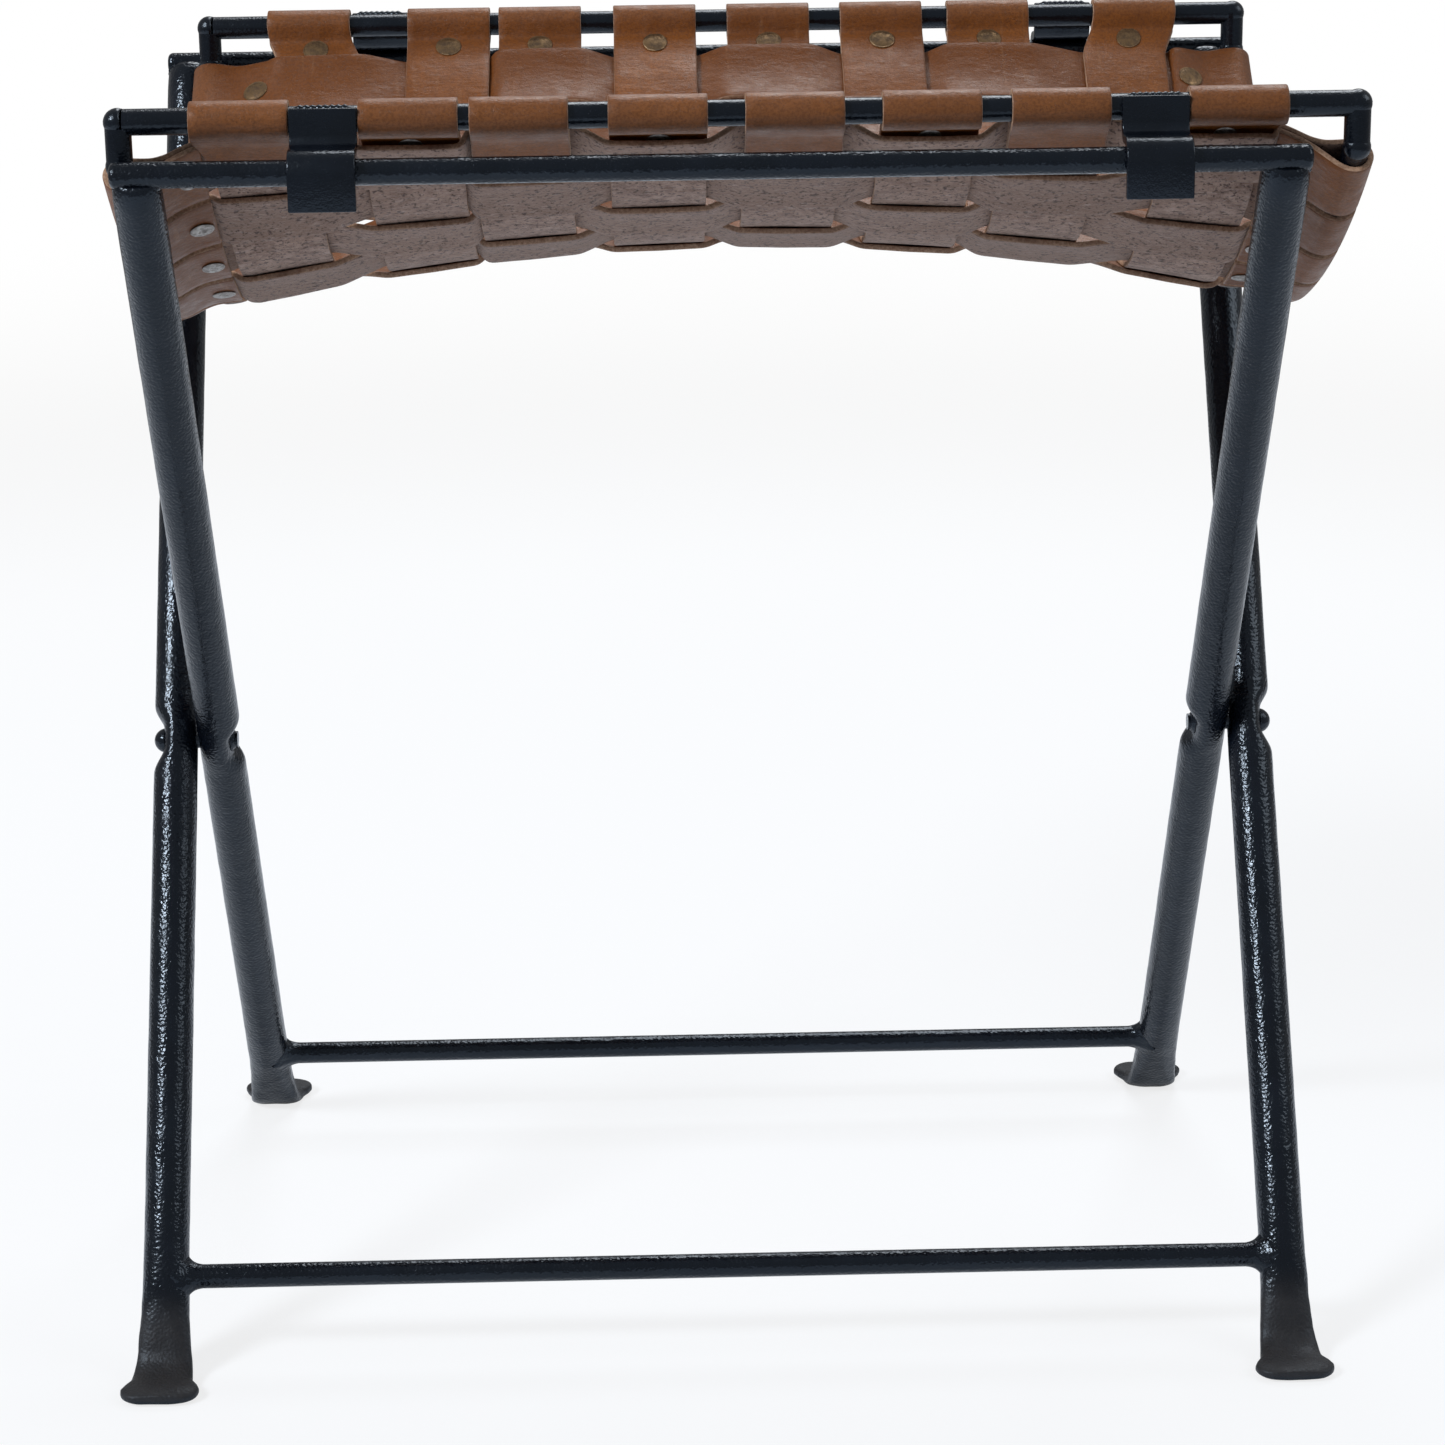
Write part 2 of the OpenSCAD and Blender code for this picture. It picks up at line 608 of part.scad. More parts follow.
// A hook of flat bar, welded to the basket rod and bent over the top rail
hook_bend = 5;
module hook(x, side) {
    sink = 0.6;
    weld_y = basket_half_d + rod_r + hook_t / 2 - sink;
    grip_r = rod_r + hook_gap + hook_t / 2;
    over_z = rail_height + grip_r;
    color(black)
        difference() {
            translate([x + basket_shift - hook_w / 2, 0, 0])
                rotate([90, 0, 90])
                    linear_extrude(hook_w)
                        mirror([side < 0 ? 1 : 0, 0]) {
                            translate([weld_y - hook_t / 2, over_z + hook_bend])
                                square([hook_t, rod_height + rod_r - over_z - hook_bend]);
                            translate([weld_y + hook_bend, over_z + hook_bend])
                                band(hook_bend, 180, 270);
                            translate([weld_y + hook_bend - eps, over_z - hook_t / 2])
                                square([rail_y - weld_y - hook_bend + 2 * eps, hook_t]);
                            translate([rail_y, rail_height]) band(grip_r, 0, 90);
                            translate([rail_y + grip_r - hook_t / 2, rail_height - hook_lip])
                                square([hook_t, hook_lip + eps]);
                        }
            translate([basket_shift, side * basket_half_d, rod_height])
                rotate([0, 90, 0]) cylinder(h = 2 * basket_half_l, r = rod_r, center = true);
        }
}

// A bent piece of the flat bar's side view: middle radius r, from angle a to angle b
module band(r, a, b) {
    outer = r + hook_t / 2;
    intersection() {
        difference() {
            circle(outer, $fn = 64);
            circle(r - hook_t / 2, $fn = 64);
        }
        polygon([[0, 0], for (t = [a, (a + b) / 2, b]) 2 * outer * [cos(t), sin(t)]]);
    }
}

// ---------------------------------------------------------------- nodes

rail(inner_leg_x, -1);  // inner_rail
leg(-inner_leg_x, 1, 1);  // inner_leg_left
leg(inner_leg_x, 1, -1);  // inner_leg_right
stretcher(inner_leg_x, 1);  // inner_stretcher
frame_welds(inner_leg_x, 1);  // inner_frame_welds
rail(outer_leg_x, 1);  // outer_rail
leg(-outer_leg_x, -1, -1);  // outer_leg_left
leg(outer_leg_x, -1, 1);  // outer_leg_right
stretcher(outer_leg_x, -1);  // outer_stretcher
frame_welds(outer_leg_x, -1);  // outer_frame_welds
pivot_rivet(-1);  // pivot_rivet_left
pivot_rivet(1);  // pivot_rivet_right
basket_rod(-1);  // basket_front_rod
basket_rod(1);  // basket_rear_rod
end_bar(-1);  // basket_end_bar_left
end_bar(1);  // basket_end_bar_right
hook(-hook_x, -1);  // front_hook_left
hook(hook_x, -1);  // front_hook_right
hook(-hook_x, 1);  // rear_hook_left
hook(hook_x, 1);  // rear_hook_right
for (k = [1:8]) cross_strap(k);
for (i = [1:9]) long_strap(i - 5);
cross_caps(-1);  // front_rivet_caps
cross_backs(-1);  // front_rivet_backs
cross_caps(1);  // rear_rivet_caps
cross_backs(1);  // rear_rivet_backs
long_caps(-1);  // left_rivet_caps
long_backs(-1);  // left_rivet_backs
long_caps(1);  // right_rivet_caps
long_backs(1);  // right_rivet_backs
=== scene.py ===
import json
import math

import bpy
import numpy as np
from mathutils import Matrix, Vector, noise

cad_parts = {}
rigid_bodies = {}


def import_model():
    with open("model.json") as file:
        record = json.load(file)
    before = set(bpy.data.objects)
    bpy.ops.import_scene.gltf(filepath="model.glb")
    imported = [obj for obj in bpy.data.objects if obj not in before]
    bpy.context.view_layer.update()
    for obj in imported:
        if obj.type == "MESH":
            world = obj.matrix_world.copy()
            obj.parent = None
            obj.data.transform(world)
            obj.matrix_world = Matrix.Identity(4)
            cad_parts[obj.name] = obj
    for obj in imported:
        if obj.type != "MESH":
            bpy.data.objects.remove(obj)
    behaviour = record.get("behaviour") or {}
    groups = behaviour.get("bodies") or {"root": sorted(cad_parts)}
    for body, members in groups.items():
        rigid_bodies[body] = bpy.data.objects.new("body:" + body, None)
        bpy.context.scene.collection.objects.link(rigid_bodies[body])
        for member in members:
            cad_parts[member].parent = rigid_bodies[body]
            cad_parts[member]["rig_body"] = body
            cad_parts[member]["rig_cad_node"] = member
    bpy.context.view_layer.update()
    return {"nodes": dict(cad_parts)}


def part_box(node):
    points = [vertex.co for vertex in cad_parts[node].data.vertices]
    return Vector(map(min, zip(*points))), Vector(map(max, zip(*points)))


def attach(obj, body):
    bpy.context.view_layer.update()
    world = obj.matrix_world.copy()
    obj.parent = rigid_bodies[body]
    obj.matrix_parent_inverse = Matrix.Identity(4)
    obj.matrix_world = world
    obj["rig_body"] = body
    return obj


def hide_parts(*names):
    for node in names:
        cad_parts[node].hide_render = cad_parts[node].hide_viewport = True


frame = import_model()
nodes = frame["nodes"]
bpy.ops.object.select_all(action="DESELECT")

# ---------------------------------------------------------------- the black coat
# All the ironwork is dipped or sprayed with a semi-gloss black paint. It flows over hand-worked tube, so it
# has a fine orange peel, small grains of dust under it, and a duller, greyer film where it lies thin.

MM = 0.001


def new_material(name):
    """A material with only a Principled shader, and the Object coordinates that its patterns read."""
    material = bpy.data.materials.new(name)
    material.use_nodes = True
    shader = material.node_tree.nodes["Principled BSDF"]
    place = material.node_tree.nodes.new("ShaderNodeTexCoord").outputs["Object"]
    return material, shader, place


def link(material, out, socket):
    material.node_tree.links.new(out, socket)


def cloud(material, place, scale, detail=4, rough=0.55, stretch=None):
    """Soft noise from 0 to 1 around 0.5. scale is in features a metre."""
    if stretch:
        mapping = material.node_tree.nodes.new("ShaderNodeMapping")
        mapping.inputs["Scale"].default_value = stretch
        link(material, place, mapping.inputs["Vector"])
        place = mapping.outputs["Vector"]
    node = material.node_tree.nodes.new("ShaderNodeTexNoise")
    node.inputs["Scale"].default_value = scale
    node.inputs["Detail"].default_value = detail
    node.inputs["Roughness"].default_value = rough
    link(material, place, node.inputs["Vector"])
    return node.outputs["Fac"]


def cells(material, place, scale):
    """Distance to the nearest of many scattered points, for pores and pits."""
    node = material.node_tree.nodes.new("ShaderNodeTexVoronoi")
    node.inputs["Scale"].default_value = scale
    link(material, place, node.inputs["Vector"])
    return node.outputs["Distance"]


def spread(material, value, low, high, to_low=0.0, to_high=1.0):
    """Stretches the part of value between low and high over to_low to to_high."""
    node = material.node_tree.nodes.new("ShaderNodeMapRange")
    node.interpolation_type = "SMOOTHSTEP"
    for name, number in (("From Min", low), ("From Max", high), ("To Min", to_low), ("To Max", to_high)):
        node.inputs[name].default_value = number
    link(material, value, node.inputs["Value"])
    return node.outputs["Result"]


def worked_out(material, first, second, how="ADD"):
    """Joins two values, or a value and a number, by the named operation."""
    node = material.node_tree.nodes.new("ShaderNodeMath")
    node.operation = how
    for socket, value in zip(node.inputs, (first, second)):
        if isinstance(value, (int, float)):
            socket.default_value = value
        else:
            link(material, value, socket)
    return node.outputs["Value"]


def attribute(material, name):
    """A value that is laid down on the points of a piece, and 0 where the piece has none."""
    node = material.node_tree.nodes.new("ShaderNodeAttribute")
    node.attribute_name = name
    return node.outputs["Fac"]


def blend_colours(material, share, first, second):
    """Goes from the first colour to the second with share. A colour is three numbers or another blend."""
    node = material.node_tree.nodes.new("ShaderNodeMix")
    node.data_type = "RGBA"
    link(material, share, node.inputs["Factor"])
    for socket, colour in ((node.inputs[6], first), (node.inputs[7], second)):
        if isinstance(colour, tuple):
            socket.default_value = (*colour, 1)
        else:
            link(material, colour, socket)
    return node.outputs[2]


def raise_surface(material, shader, heights):
    """Adds bumps on top of each other. heights holds pairs of a pattern and its height in metres."""
    last = None
    for pattern, height in heights:
        bump = material.node_tree.nodes.new("ShaderNodeBump")
        bump.inputs["Distance"].default_value = height
        link(material, pattern, bump.inputs["Height"])
        if last:
            link(material, last, bump.inputs["Normal"])
        last = bump.outputs["Normal"]
    link(material, last, shader.inputs["Normal"])


def black_coat(name, gloss, rough_hand):
    """Near-black, slightly blue paint. The attribute "worn" makes it dull and grey-brown, as on a foot."""
    material, shader, place = new_material(name)
    film = spread(material, cloud(material, place, 38, 5, 0.6), 0.42, 0.72)
    colour = blend_colours(material, film, (0.0015, 0.0024, 0.0050), (0.0034, 0.0053, 0.0098))
    worn = attribute(material, "worn")
    patchy = spread(material, cloud(material, place, 260, 6, 0.7), 0.3, 0.7, 0.7, 1.0)
    dull = worked_out(material, worn, patchy, "MULTIPLY")
    colour = blend_colours(material, dull, colour, (0.0200, 0.0172, 0.0165))
    dust = spread(material, cloud(material, place, 2600, 2), 0.66, 0.74)
    colour = blend_colours(material, dust, colour, (0.026, 0.029, 0.036))
    link(material, colour, shader.inputs["Base Color"])
    rough = spread(material, cloud(material, place, 90, 6, 0.65), 0.3, 0.7, gloss - 0.05, gloss + 0.09)
    rough = worked_out(material, rough, spread(material, dull, 0, 1, 0, 0.36))
    link(material, rough, shader.inputs["Roughness"])
    shader.inputs["Specular IOR Level"].default_value = 0.42
    shader.inputs["Specular Tint"].default_value = (0.70, 0.84, 1.0, 1)
    hand = cloud(material, place, 105, 2)
    peel = cloud(material, place, 980, 0)
    grit = cloud(material, place, 1900, 0)
    raise_surface(material, shader, (
        (hand, 0.00032 * rough_hand), (peel, 0.00019 * rough_hand), (grit, 0.00005)))
    return material


frame_coat = black_coat("black_coat_on_tube", 0.18, 1.0)
rod_coat = black_coat("black_coat_on_rod", 0.20, 0.35)

# ---------------------------------------------------------------- legs
# Each leg is a 16 mm steel tube. It is pinched shut on its rail, pressed in where a pivot rivet's head
# seats, and its lower end is hammered flat into a spade that is bent to lie on the floor.

leg_r = 8.0
pivot_low, pivot_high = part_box("pivot_rivet_left")
pivot_height = (pivot_low.z + pivot_high.z) / 2 / MM
rod_low, rod_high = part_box("inner_rail")
rod_r = (rod_high.z - rod_low.z) / 2 / MM
rail_height = (rod_high.z + rod_low.z) / 2 / MM
rail_y = -(rod_high.y + rod_low.y) / 2 / MM
inner_leg_x = rod_high.x / MM - leg_r
outer_leg_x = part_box("outer_rail")[1].x / MM - leg_r
lean = math.atan2(rail_y, rail_height - pivot_height)
leg_up = math.hypot(rail_y, rail_height - pivot_height)
toe_y = -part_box("outer_leg_left")[0].y / MM


def smooth(t):
    t = max(0.0, min(1.0, t))
    return t * t * (3 - 2 * t)


def laid_grid(name, across, along, place):
    """Lays out a flat grid and moves each point to place(u, v), where u and v run from 0 to 1."""
    bpy.ops.object.select_all(action="DESELECT")
    bpy.ops.mesh.primitive_grid_add(x_subdivisions=across, y_subdivisions=along, size=1)
    piece = bpy.context.object
    piece.name = piece.data.name = name
    for point in piece.data.vertices:
        point.co = Vector(place(point.co.x + 0.5, point.co.y + 0.5)) * MM
    return piece


def mark_points(piece, name, values):
    piece.data.attributes.new(name, "FLOAT", "POINT").data.foreach_set("value", values)


def close_seams(piece, reach=1e-6):
    """Merges the points that meet at a seam or pole and turns every face outwards."""
    bpy.context.view_layer.objects.active = piece
    bpy.ops.object.mode_set(mode="EDIT")
    bpy.ops.mesh.select_all(action="SELECT")
    bpy.ops.mesh.remove_doubles(threshold=reach)
    bpy.ops.mesh.normals_make_consistent(inside=False)
    bpy.ops.object.mode_set(mode="OBJECT")


def finish_piece(piece, material, body, replaced=(), sharp=40):
    """Smooths a piece, gives it its material, attaches it to its CAD body and hides the CAD nodes that it
    replaces.
    """
    bpy.ops.object.select_all(action="DESELECT")
    piece.select_set(True)
    bpy.context.view_layer.objects.active = piece
    bpy.ops.object.shade_smooth_by_angle(angle=math.radians(sharp))
    if material:
        piece.data.materials.clear()
        piece.data.materials.append(material)
    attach(piece, body)
    for node in replaced:
        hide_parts(node)


# the foot: the plate's middle lies half its thickness above the floor, after a bend of this radius
plate_half = 2.5
foot_bend = 14.0
turn = math.pi / 2 - lean
bend_start = (pivot_height - plate_half) / math.cos(lean) - foot_bend * math.tan(turn / 2)
bend_end = bend_start + foot_bend * turn
bend_y = bend_start * math.sin(lean)
bend_z = pivot_height - bend_start * math.cos(lean)
flat_y = bend_y + foot_bend * math.cos(lean)
toe = bend_end + toe_y - flat_y
toe_round = 7.0
# the tube ends this far below the rail's axis, and is pinched narrower and thinner over a short neck
top_room, neck_run = 1.2, 10
neck_narrow, neck_thin = 1.2, 3.5


def leg_line(t):
    """Distance out from the pivot, height and angle from the vertical, at t along the leg below the pivot."""
    if t < bend_start:
        return t * math.sin(lean), pivot_height - t * math.cos(lean), lean
    if t < bend_end:
        angle = lean + (t - bend_start) / foot_bend
        return (bend_y + foot_bend * (math.cos(lean) - math.cos(angle)),
                bend_z - foot_bend * (math.sin(angle) - math.sin(lean)), angle)
    return flat_y + t - bend_end, plate_half, math.pi / 2


# half width, half thickness and squareness of the tube: round, then beaten wider and flatter
flatten_at = [bend_start - 42, bend_start - 26, bend_start - 12, bend_start, bend_end,
              (bend_end + toe - toe_round) / 2, toe - toe_round]
flatten_w = [leg_r, 8.1, 8.5, 9.3, 10.9, 12.7, 13.7]
flatten_t = [leg_r, 7.1, 5.3, 3.7, 2.75, plate_half, plate_half]
flatten_p = [2.0, 2.15, 2.5, 2.9, 3.3, 3.4, 3.4]


def leg_stations():
    """Where rings of points lie along the leg, close together at the rail, the pivot and the foot."""
    top = -leg_up + top_room
    neck = [top + neck_run * (1 - math.cos(a * math.pi / 16)) for a in range(9)]
    stations = neck + list(np.arange(neck[-1] + 5, -24, 5)) + list(np.arange(-24, 24.1, 1.0))
    stations += list(np.arange(29, bend_start - 46, 5))
    stations += list(np.arange(bend_start - 44, toe - toe_round, 1.3))
    stations += [toe - toe_round * (1 - math.sin(a * math.pi / 16)) for a in range(9)]
    return [float(t) for t in [top] + stations + [toe]]


def leg_ring(t, index, last):
    """Half width, half thickness and squareness of the ring at t. The first and last rings are poles."""
    if index == 0 or index == last:
        return 0.0, 0.0, 2.0
    w, b, p = (float(np.interp(t, flatten_at, values)) for values in (flatten_w, flatten_t, flatten_p))
    neck = max(0.0, 1 - (t + leg_up - top_room) / neck_run)
    rounding = 1 - math.sqrt(max(0.0, 1 - neck * neck))
    w -= neck_narrow * rounding
    b -= neck_thin * rounding
    out = max(0.0, (t - (toe - toe_round)) / toe_round)
    shrink = math.sqrt(max(0.0, 1 - out * out))
    return w - toe_round * (1 - shrink), b * (0.5 + 0.5 * shrink), p


# the dent at the pivot: its depth, half its length and the run of each shoulder
dent_depth, dent_half, dent_run = 4.0, 14.0, 10.5


def leg(name, leg_x, side, dent_side, replaced, body):
    stations = leg_stations()
    last = len(stations) - 1
    worn_marks = []

    def place(u, v):
        index = round(v * last)
        t = stations[index]
        w, b, p = leg_ring(t, index, last)
        a = u * 2 * math.pi
        c, s = math.cos(a), math.sin(a)
        across = w * math.copysign(abs(c) ** (2 / p), c)
        through = b * math.copysign(abs(s) ** (2 / p), s)
        # the press squeezes one side in, flat with round shoulders, and the tube bulges the other way
        press = dent_depth * smooth((dent_half - abs(t)) / dent_run) ** 1.4
        if press > 0 and across * dent_side > 0:
            across *= 1 - (press - 0.45 * press / dent_depth) / leg_r
            face = leg_r - press
            across = dent_side * min(across * dent_side, face + 0.1 * max(0.0, across * dent_side - face))
        through *= 1 + 0.06 * press / dent_depth
        y, z, angle = leg_line(t)
        y, z = y + through * math.cos(angle), z + through * math.sin(angle)
        spot = Vector((leg_x + across, side * y, z))
        # hammering leaves the foot lumpier than the tube above it
        lump = 0.10 + 0.16 * smooth((t - bend_start + 40) / 30)
        lump *= noise.noise(spot * 0.09) + 0.5 * noise.noise(spot * 0.27)
        if 0 < index < last:
            spot += lump * Vector((c, side * s * math.cos(angle), s * math.sin(angle)))
        spot.z = max(spot.z, 0.0)
        worn_marks.append(smooth((t - bend_start + 22) / 16) * smooth((s + 0.35) / 0.5))
        return spot

    piece = laid_grid(name, 64, last, place)
    mark_points(piece, "worn", worn_marks)
    close_seams(piece)
    finish_piece(piece, frame_coat, body, replaced, 60)


leg("tube_leg_inner_left", -inner_leg_x, 1, 1, ["inner_leg_left"], "inner_frame")
leg("tube_leg_inner_right", inner_leg_x, 1, -1, ["inner_leg_right"], "inner_frame")
leg("tube_leg_outer_left", -outer_leg_x, -1, -1, ["outer_leg_left"], "outer_frame")
leg("tube_leg_outer_right", outer_leg_x, -1, 1, ["outer_leg_right"], "outer_frame")

# ---------------------------------------------------------------- welds of the two frames
# The stretchers are fillet-welded to the legs, and the rails lie on the pinched tops of the tubes. Round each
# joint is a small rippled collar of weld metal, painted over with the rest.

stretcher_low, stretcher_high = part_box("outer_stretcher")
stretcher_z = (stretcher_low.z + stretcher_high.z) / 2 / MM
stretcher_y = -(stretcher_low.y + stretcher_high.y) / 2 / MM
# the fillet's outline as distance out from the leg and height above the rod, closed below both skins
fillet = [(-1.2 + 0.34 * i, 3.0 * math.exp(-max(0.0, 0.34 * i - 1.2) / 1.9) - 0.2) for i in range(21)]
fillet += [(fillet[-1][0], -0.7), (2.0, -0.9), (-1.2, -0.9)]


def stretcher_bead(u, v, leg_x, side, way):
    """A concave fillet that follows the round of the leg: thick against the leg, thin along the rod."""
    a = u * 2 * math.pi
    ripple = 1 + 0.10 * math.sin(9 * a + leg_x)
    ripple += 0.06 * noise.noise(Vector((3 * math.cos(a), 3 * math.sin(a), leg_x)))
    out, height = fillet[round(v * len(fillet)) % len(fillet)]
    r = rod_r + height * ripple
    y, z = r * math.cos(a), r * math.sin(a)
    off_axis = y * math.cos(lean) + z * math.sin(lean)
    leg_face = math.sqrt(leg_r ** 2 - min(off_axis, leg_r - 0.5) ** 2)
    return Vector((way * (leg_x - leg_face - out), side * (stretcher_y + y), stretcher_z + z))


def rail_bead(u, v, leg_x, side, way):
    """A ring of weld metal round the pinched top of the tube, under and beside the rail."""
    a = u * 2 * math.pi
    b = v * 2 * math.pi
    fat = 1.15 + 0.22 * math.sin(11 * a + leg_x)
    fat += 0.25 * noise.noise(Vector((4 * math.cos(a), 4 * math.sin(a), leg_x)))
    ring_x = (6.9 + fat * math.cos(b)) * math.cos(a)
    ring_y = (4.3 + fat * math.cos(b)) * math.sin(a)
    t = -leg_up + 2.6 + 1.3 * math.cos(a) ** 2 + fat * math.sin(b)
    y, z, angle = leg_line(t)
    y, z = y + ring_y * math.cos(angle), z + ring_y * math.sin(angle)
    return Vector((way * leg_x + ring_x, side * y, z))


def join_pieces(name, pieces):
    bpy.ops.object.select_all(action="DESELECT")
    for piece in pieces:
        piece.select_set(True)
    bpy.context.view_layer.objects.active = pieces[0]
    bpy.ops.object.join()
    pieces[0].name = pieces[0].data.name = name
    return pieces[0]


def frame_welds(name, leg_x, side, node, body):
    beads = []
    for way in (-1, 1):
        for shape, along in ((stretcher_bead, len(fillet)), (rail_bead, 16)):
            bead = laid_grid("bead", 72, along, lambda u, v: shape(u, v, leg_x, side, way))
            close_seams(bead)
            beads.append(bead)
    welds = join_pieces(name, beads)
    finish_piece(welds, frame_coat, body, [node], 60)


frame_welds("weld_beads_inner", inner_leg_x, 1, "inner_frame_welds", "inner_frame")
frame_welds("weld_beads_outer", outer_leg_x, -1, "outer_frame_welds", "outer_frame")

# ---------------------------------------------------------------- rails, stretchers, pivots and basket rods
# Rails, stretchers and the basket's hoop are 8.5 mm round bar, cut square with the ends dressed round. The
# pivots are solid rivets. They are plain turned or drawn shapes under the same coat.

frame_bars = ("inner_rail", "outer_rail", "inner_stretcher", "outer_stretcher", "pivot_rivet_left",
              "pivot_rivet_right")
basket_bars = ("basket_front_rod", "basket_rear_rod", "basket_end_bar_left", "basket_end_bar_right")
for names, coat in ((frame_bars, frame_coat), (basket_bars, rod_coat)):
    for name in names:
        for slot in nodes[name].material_slots:
            slot.material = coat

# ---------------------------------------------------------------- hooks
# Four pieces of 21 mm flat bar, bent cold over the rails and welded to the basket's rods. Their edges are
# rolled round, and a thin bead of weld runs along the top where each meets its rod.

hook_edge_round = 0.45
hook_weld_r = 1.3


def hook(node):
    """Takes the bar's shape from the frame, merges its loose triangles and rounds its edges."""
    bpy.ops.object.select_all(action="DESELECT")
    nodes[node].select_set(True)
    bpy.context.view_layer.objects.active = nodes[node]
    bpy.ops.object.duplicate()
    piece = bpy.context.object
    piece.name = piece.data.name = "flat_bar_" + node
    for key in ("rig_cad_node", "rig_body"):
        if key in piece:
            del piece[key]
    piece.parent = None
    bpy.ops.object.mode_set(mode="EDIT")
    bpy.ops.mesh.select_all(action="SELECT")
    bpy.ops.mesh.remove_doubles(threshold=1e-6)
    bpy.ops.mesh.dissolve_limited(angle_limit=math.radians(1))
    bpy.ops.mesh.normals_make_consistent(inside=False)
    bpy.ops.object.mode_set(mode="OBJECT")
    bevel = piece.modifiers.new("rolled_edge", "BEVEL")
    bevel.width = hook_edge_round * MM
    bevel.segments = 3
    bevel.angle_limit = math.radians(50)
    bpy.ops.object.modifier_apply(modifier=bevel.name)
    return piece


def hook_weld(node, side):
    """A rippled bead between the upper edge of the flat bar and its rod."""
    low, high = (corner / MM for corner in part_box(node))
    inner = min(abs(low.y), abs(high.y))
    half = (high.x - low.x) / 2 - 1.5

    def place(u, v):
        x = (2 * v - 1) * half
        near_end = min(1.0, (half - abs(x)) / 1.6)
        r = hook_weld_r * math.sqrt(max(0.0, near_end)) * (1 + 0.12 * math.sin(x * 3.1 + low.x))
        a = u * 2 * math.pi
        return Vector(((low.x + high.x) / 2 + x, side * (inner + 0.3 + r * math.cos(a)),
                       high.z - 0.5 + r * math.sin(a)))

    bead = laid_grid("bead", 16, 60, place)
    close_seams(bead)
    return bead


for edge, side in (("front", -1), ("rear", 1)):
    for end in ("left", "right"):
        node = f"{edge}_hook_{end}"
        whole = join_pieces("flat_bar_" + node, [hook(node), hook_weld(node, side)])
        finish_piece(whole, rod_coat, "basket", [node], 35)

# ---------------------------------------------------------------- leather
# Straps are cut from one vegetable-tanned hide, about 2 mm thick. The grain side is smooth, waxed and tan,
# with pores and scuffs. The flesh side is a rough, greyish split, and the cut edges are paler and fibrous.


def edge_share(material):
    """0 in the middle of a strap and 1 at its cut edges, from the strap's own UV map."""
    tree = material.node_tree
    uv = tree.nodes.new("ShaderNodeUVMap")
    split = tree.nodes.new("ShaderNodeSeparateXYZ")
    link(material, uv.outputs["UV"], split.inputs["Vector"])
    off = worked_out(material, split.outputs["X"], 0.5, "SUBTRACT")
    return worked_out(material, worked_out(material, off, 0.0, "ABSOLUTE"), 2.0, "MULTIPLY")


def grain_leather():
    material, shader, place = new_material("leather_grain_side")
    hide = spread(material, cloud(material, place, 26, 5, 0.6), 0.34, 0.66)
    mottle = spread(material, cloud(material, place, 230, 6, 0.7), 0.35, 0.68)
    pores = spread(material, cells(material, place, 1500), 0.10, 0.34, 1.0, 0.0)
    colour = blend_colours(material, hide, (0.172, 0.051, 0.0060), (0.244, 0.078, 0.0120))
    colour = blend_colours(material, attribute(material, "tone"), colour, (0.128, 0.036, 0.0045))
    colour = blend_colours(material, spread(material, mottle, 0, 1, 0, 0.45), colour, (0.148, 0.048, 0.011))
    scuffs = cloud(material, place, 300, 3, 0.5, (1.0, 0.12, 0.12))
    scuffs = spread(material, scuffs, 0.62, 0.74, 0, 0.35)
    colour = blend_colours(material, scuffs, colour, (0.26, 0.118, 0.050))
    # where a strap turns round a rod or bar its grain is lighter and greyer: partly stretched leather, partly
    # a painted sheen
    stretch_and_sheen_at_bends = spread(material, attribute(material, "bend"), 0, 1, 0, 0.42)
    colour = blend_colours(material, stretch_and_sheen_at_bends, colour, (0.225, 0.092, 0.038))
    colour = blend_colours(material, spread(material, pores, 0, 1, 0, 0.45), colour, (0.060, 0.022, 0.009))
    fine = spread(material, cloud(material, place, 1050, 3, 0.6), 0.40, 0.66, 0, 0.42)
    colour = blend_colours(material, fine, colour, (0.066, 0.021, 0.006))
    rim = spread(material, edge_share(material), 0.92, 1.0, 0, 0.3)
    colour = blend_colours(material, rim, colour, (0.095, 0.036, 0.016))
    link(material, colour, shader.inputs["Base Color"])
    rough = spread(material, cloud(material, place, 120, 5, 0.6), 0.3, 0.7, 0.36, 0.53)
    link(material, rough, shader.inputs["Roughness"])
    shader.inputs["Specular IOR Level"].default_value = 0.35
    wrinkles = cloud(material, place, 420, 5, 0.65, (0.35, 1.0, 1.0))
    raise_surface(material, shader, (
        (cloud(material, place, 90, 3), 0.0006), (wrinkles, 0.00028),
        (spread(material, cells(material, place, 1500), 0.0, 0.4), 0.00007)))
    return material


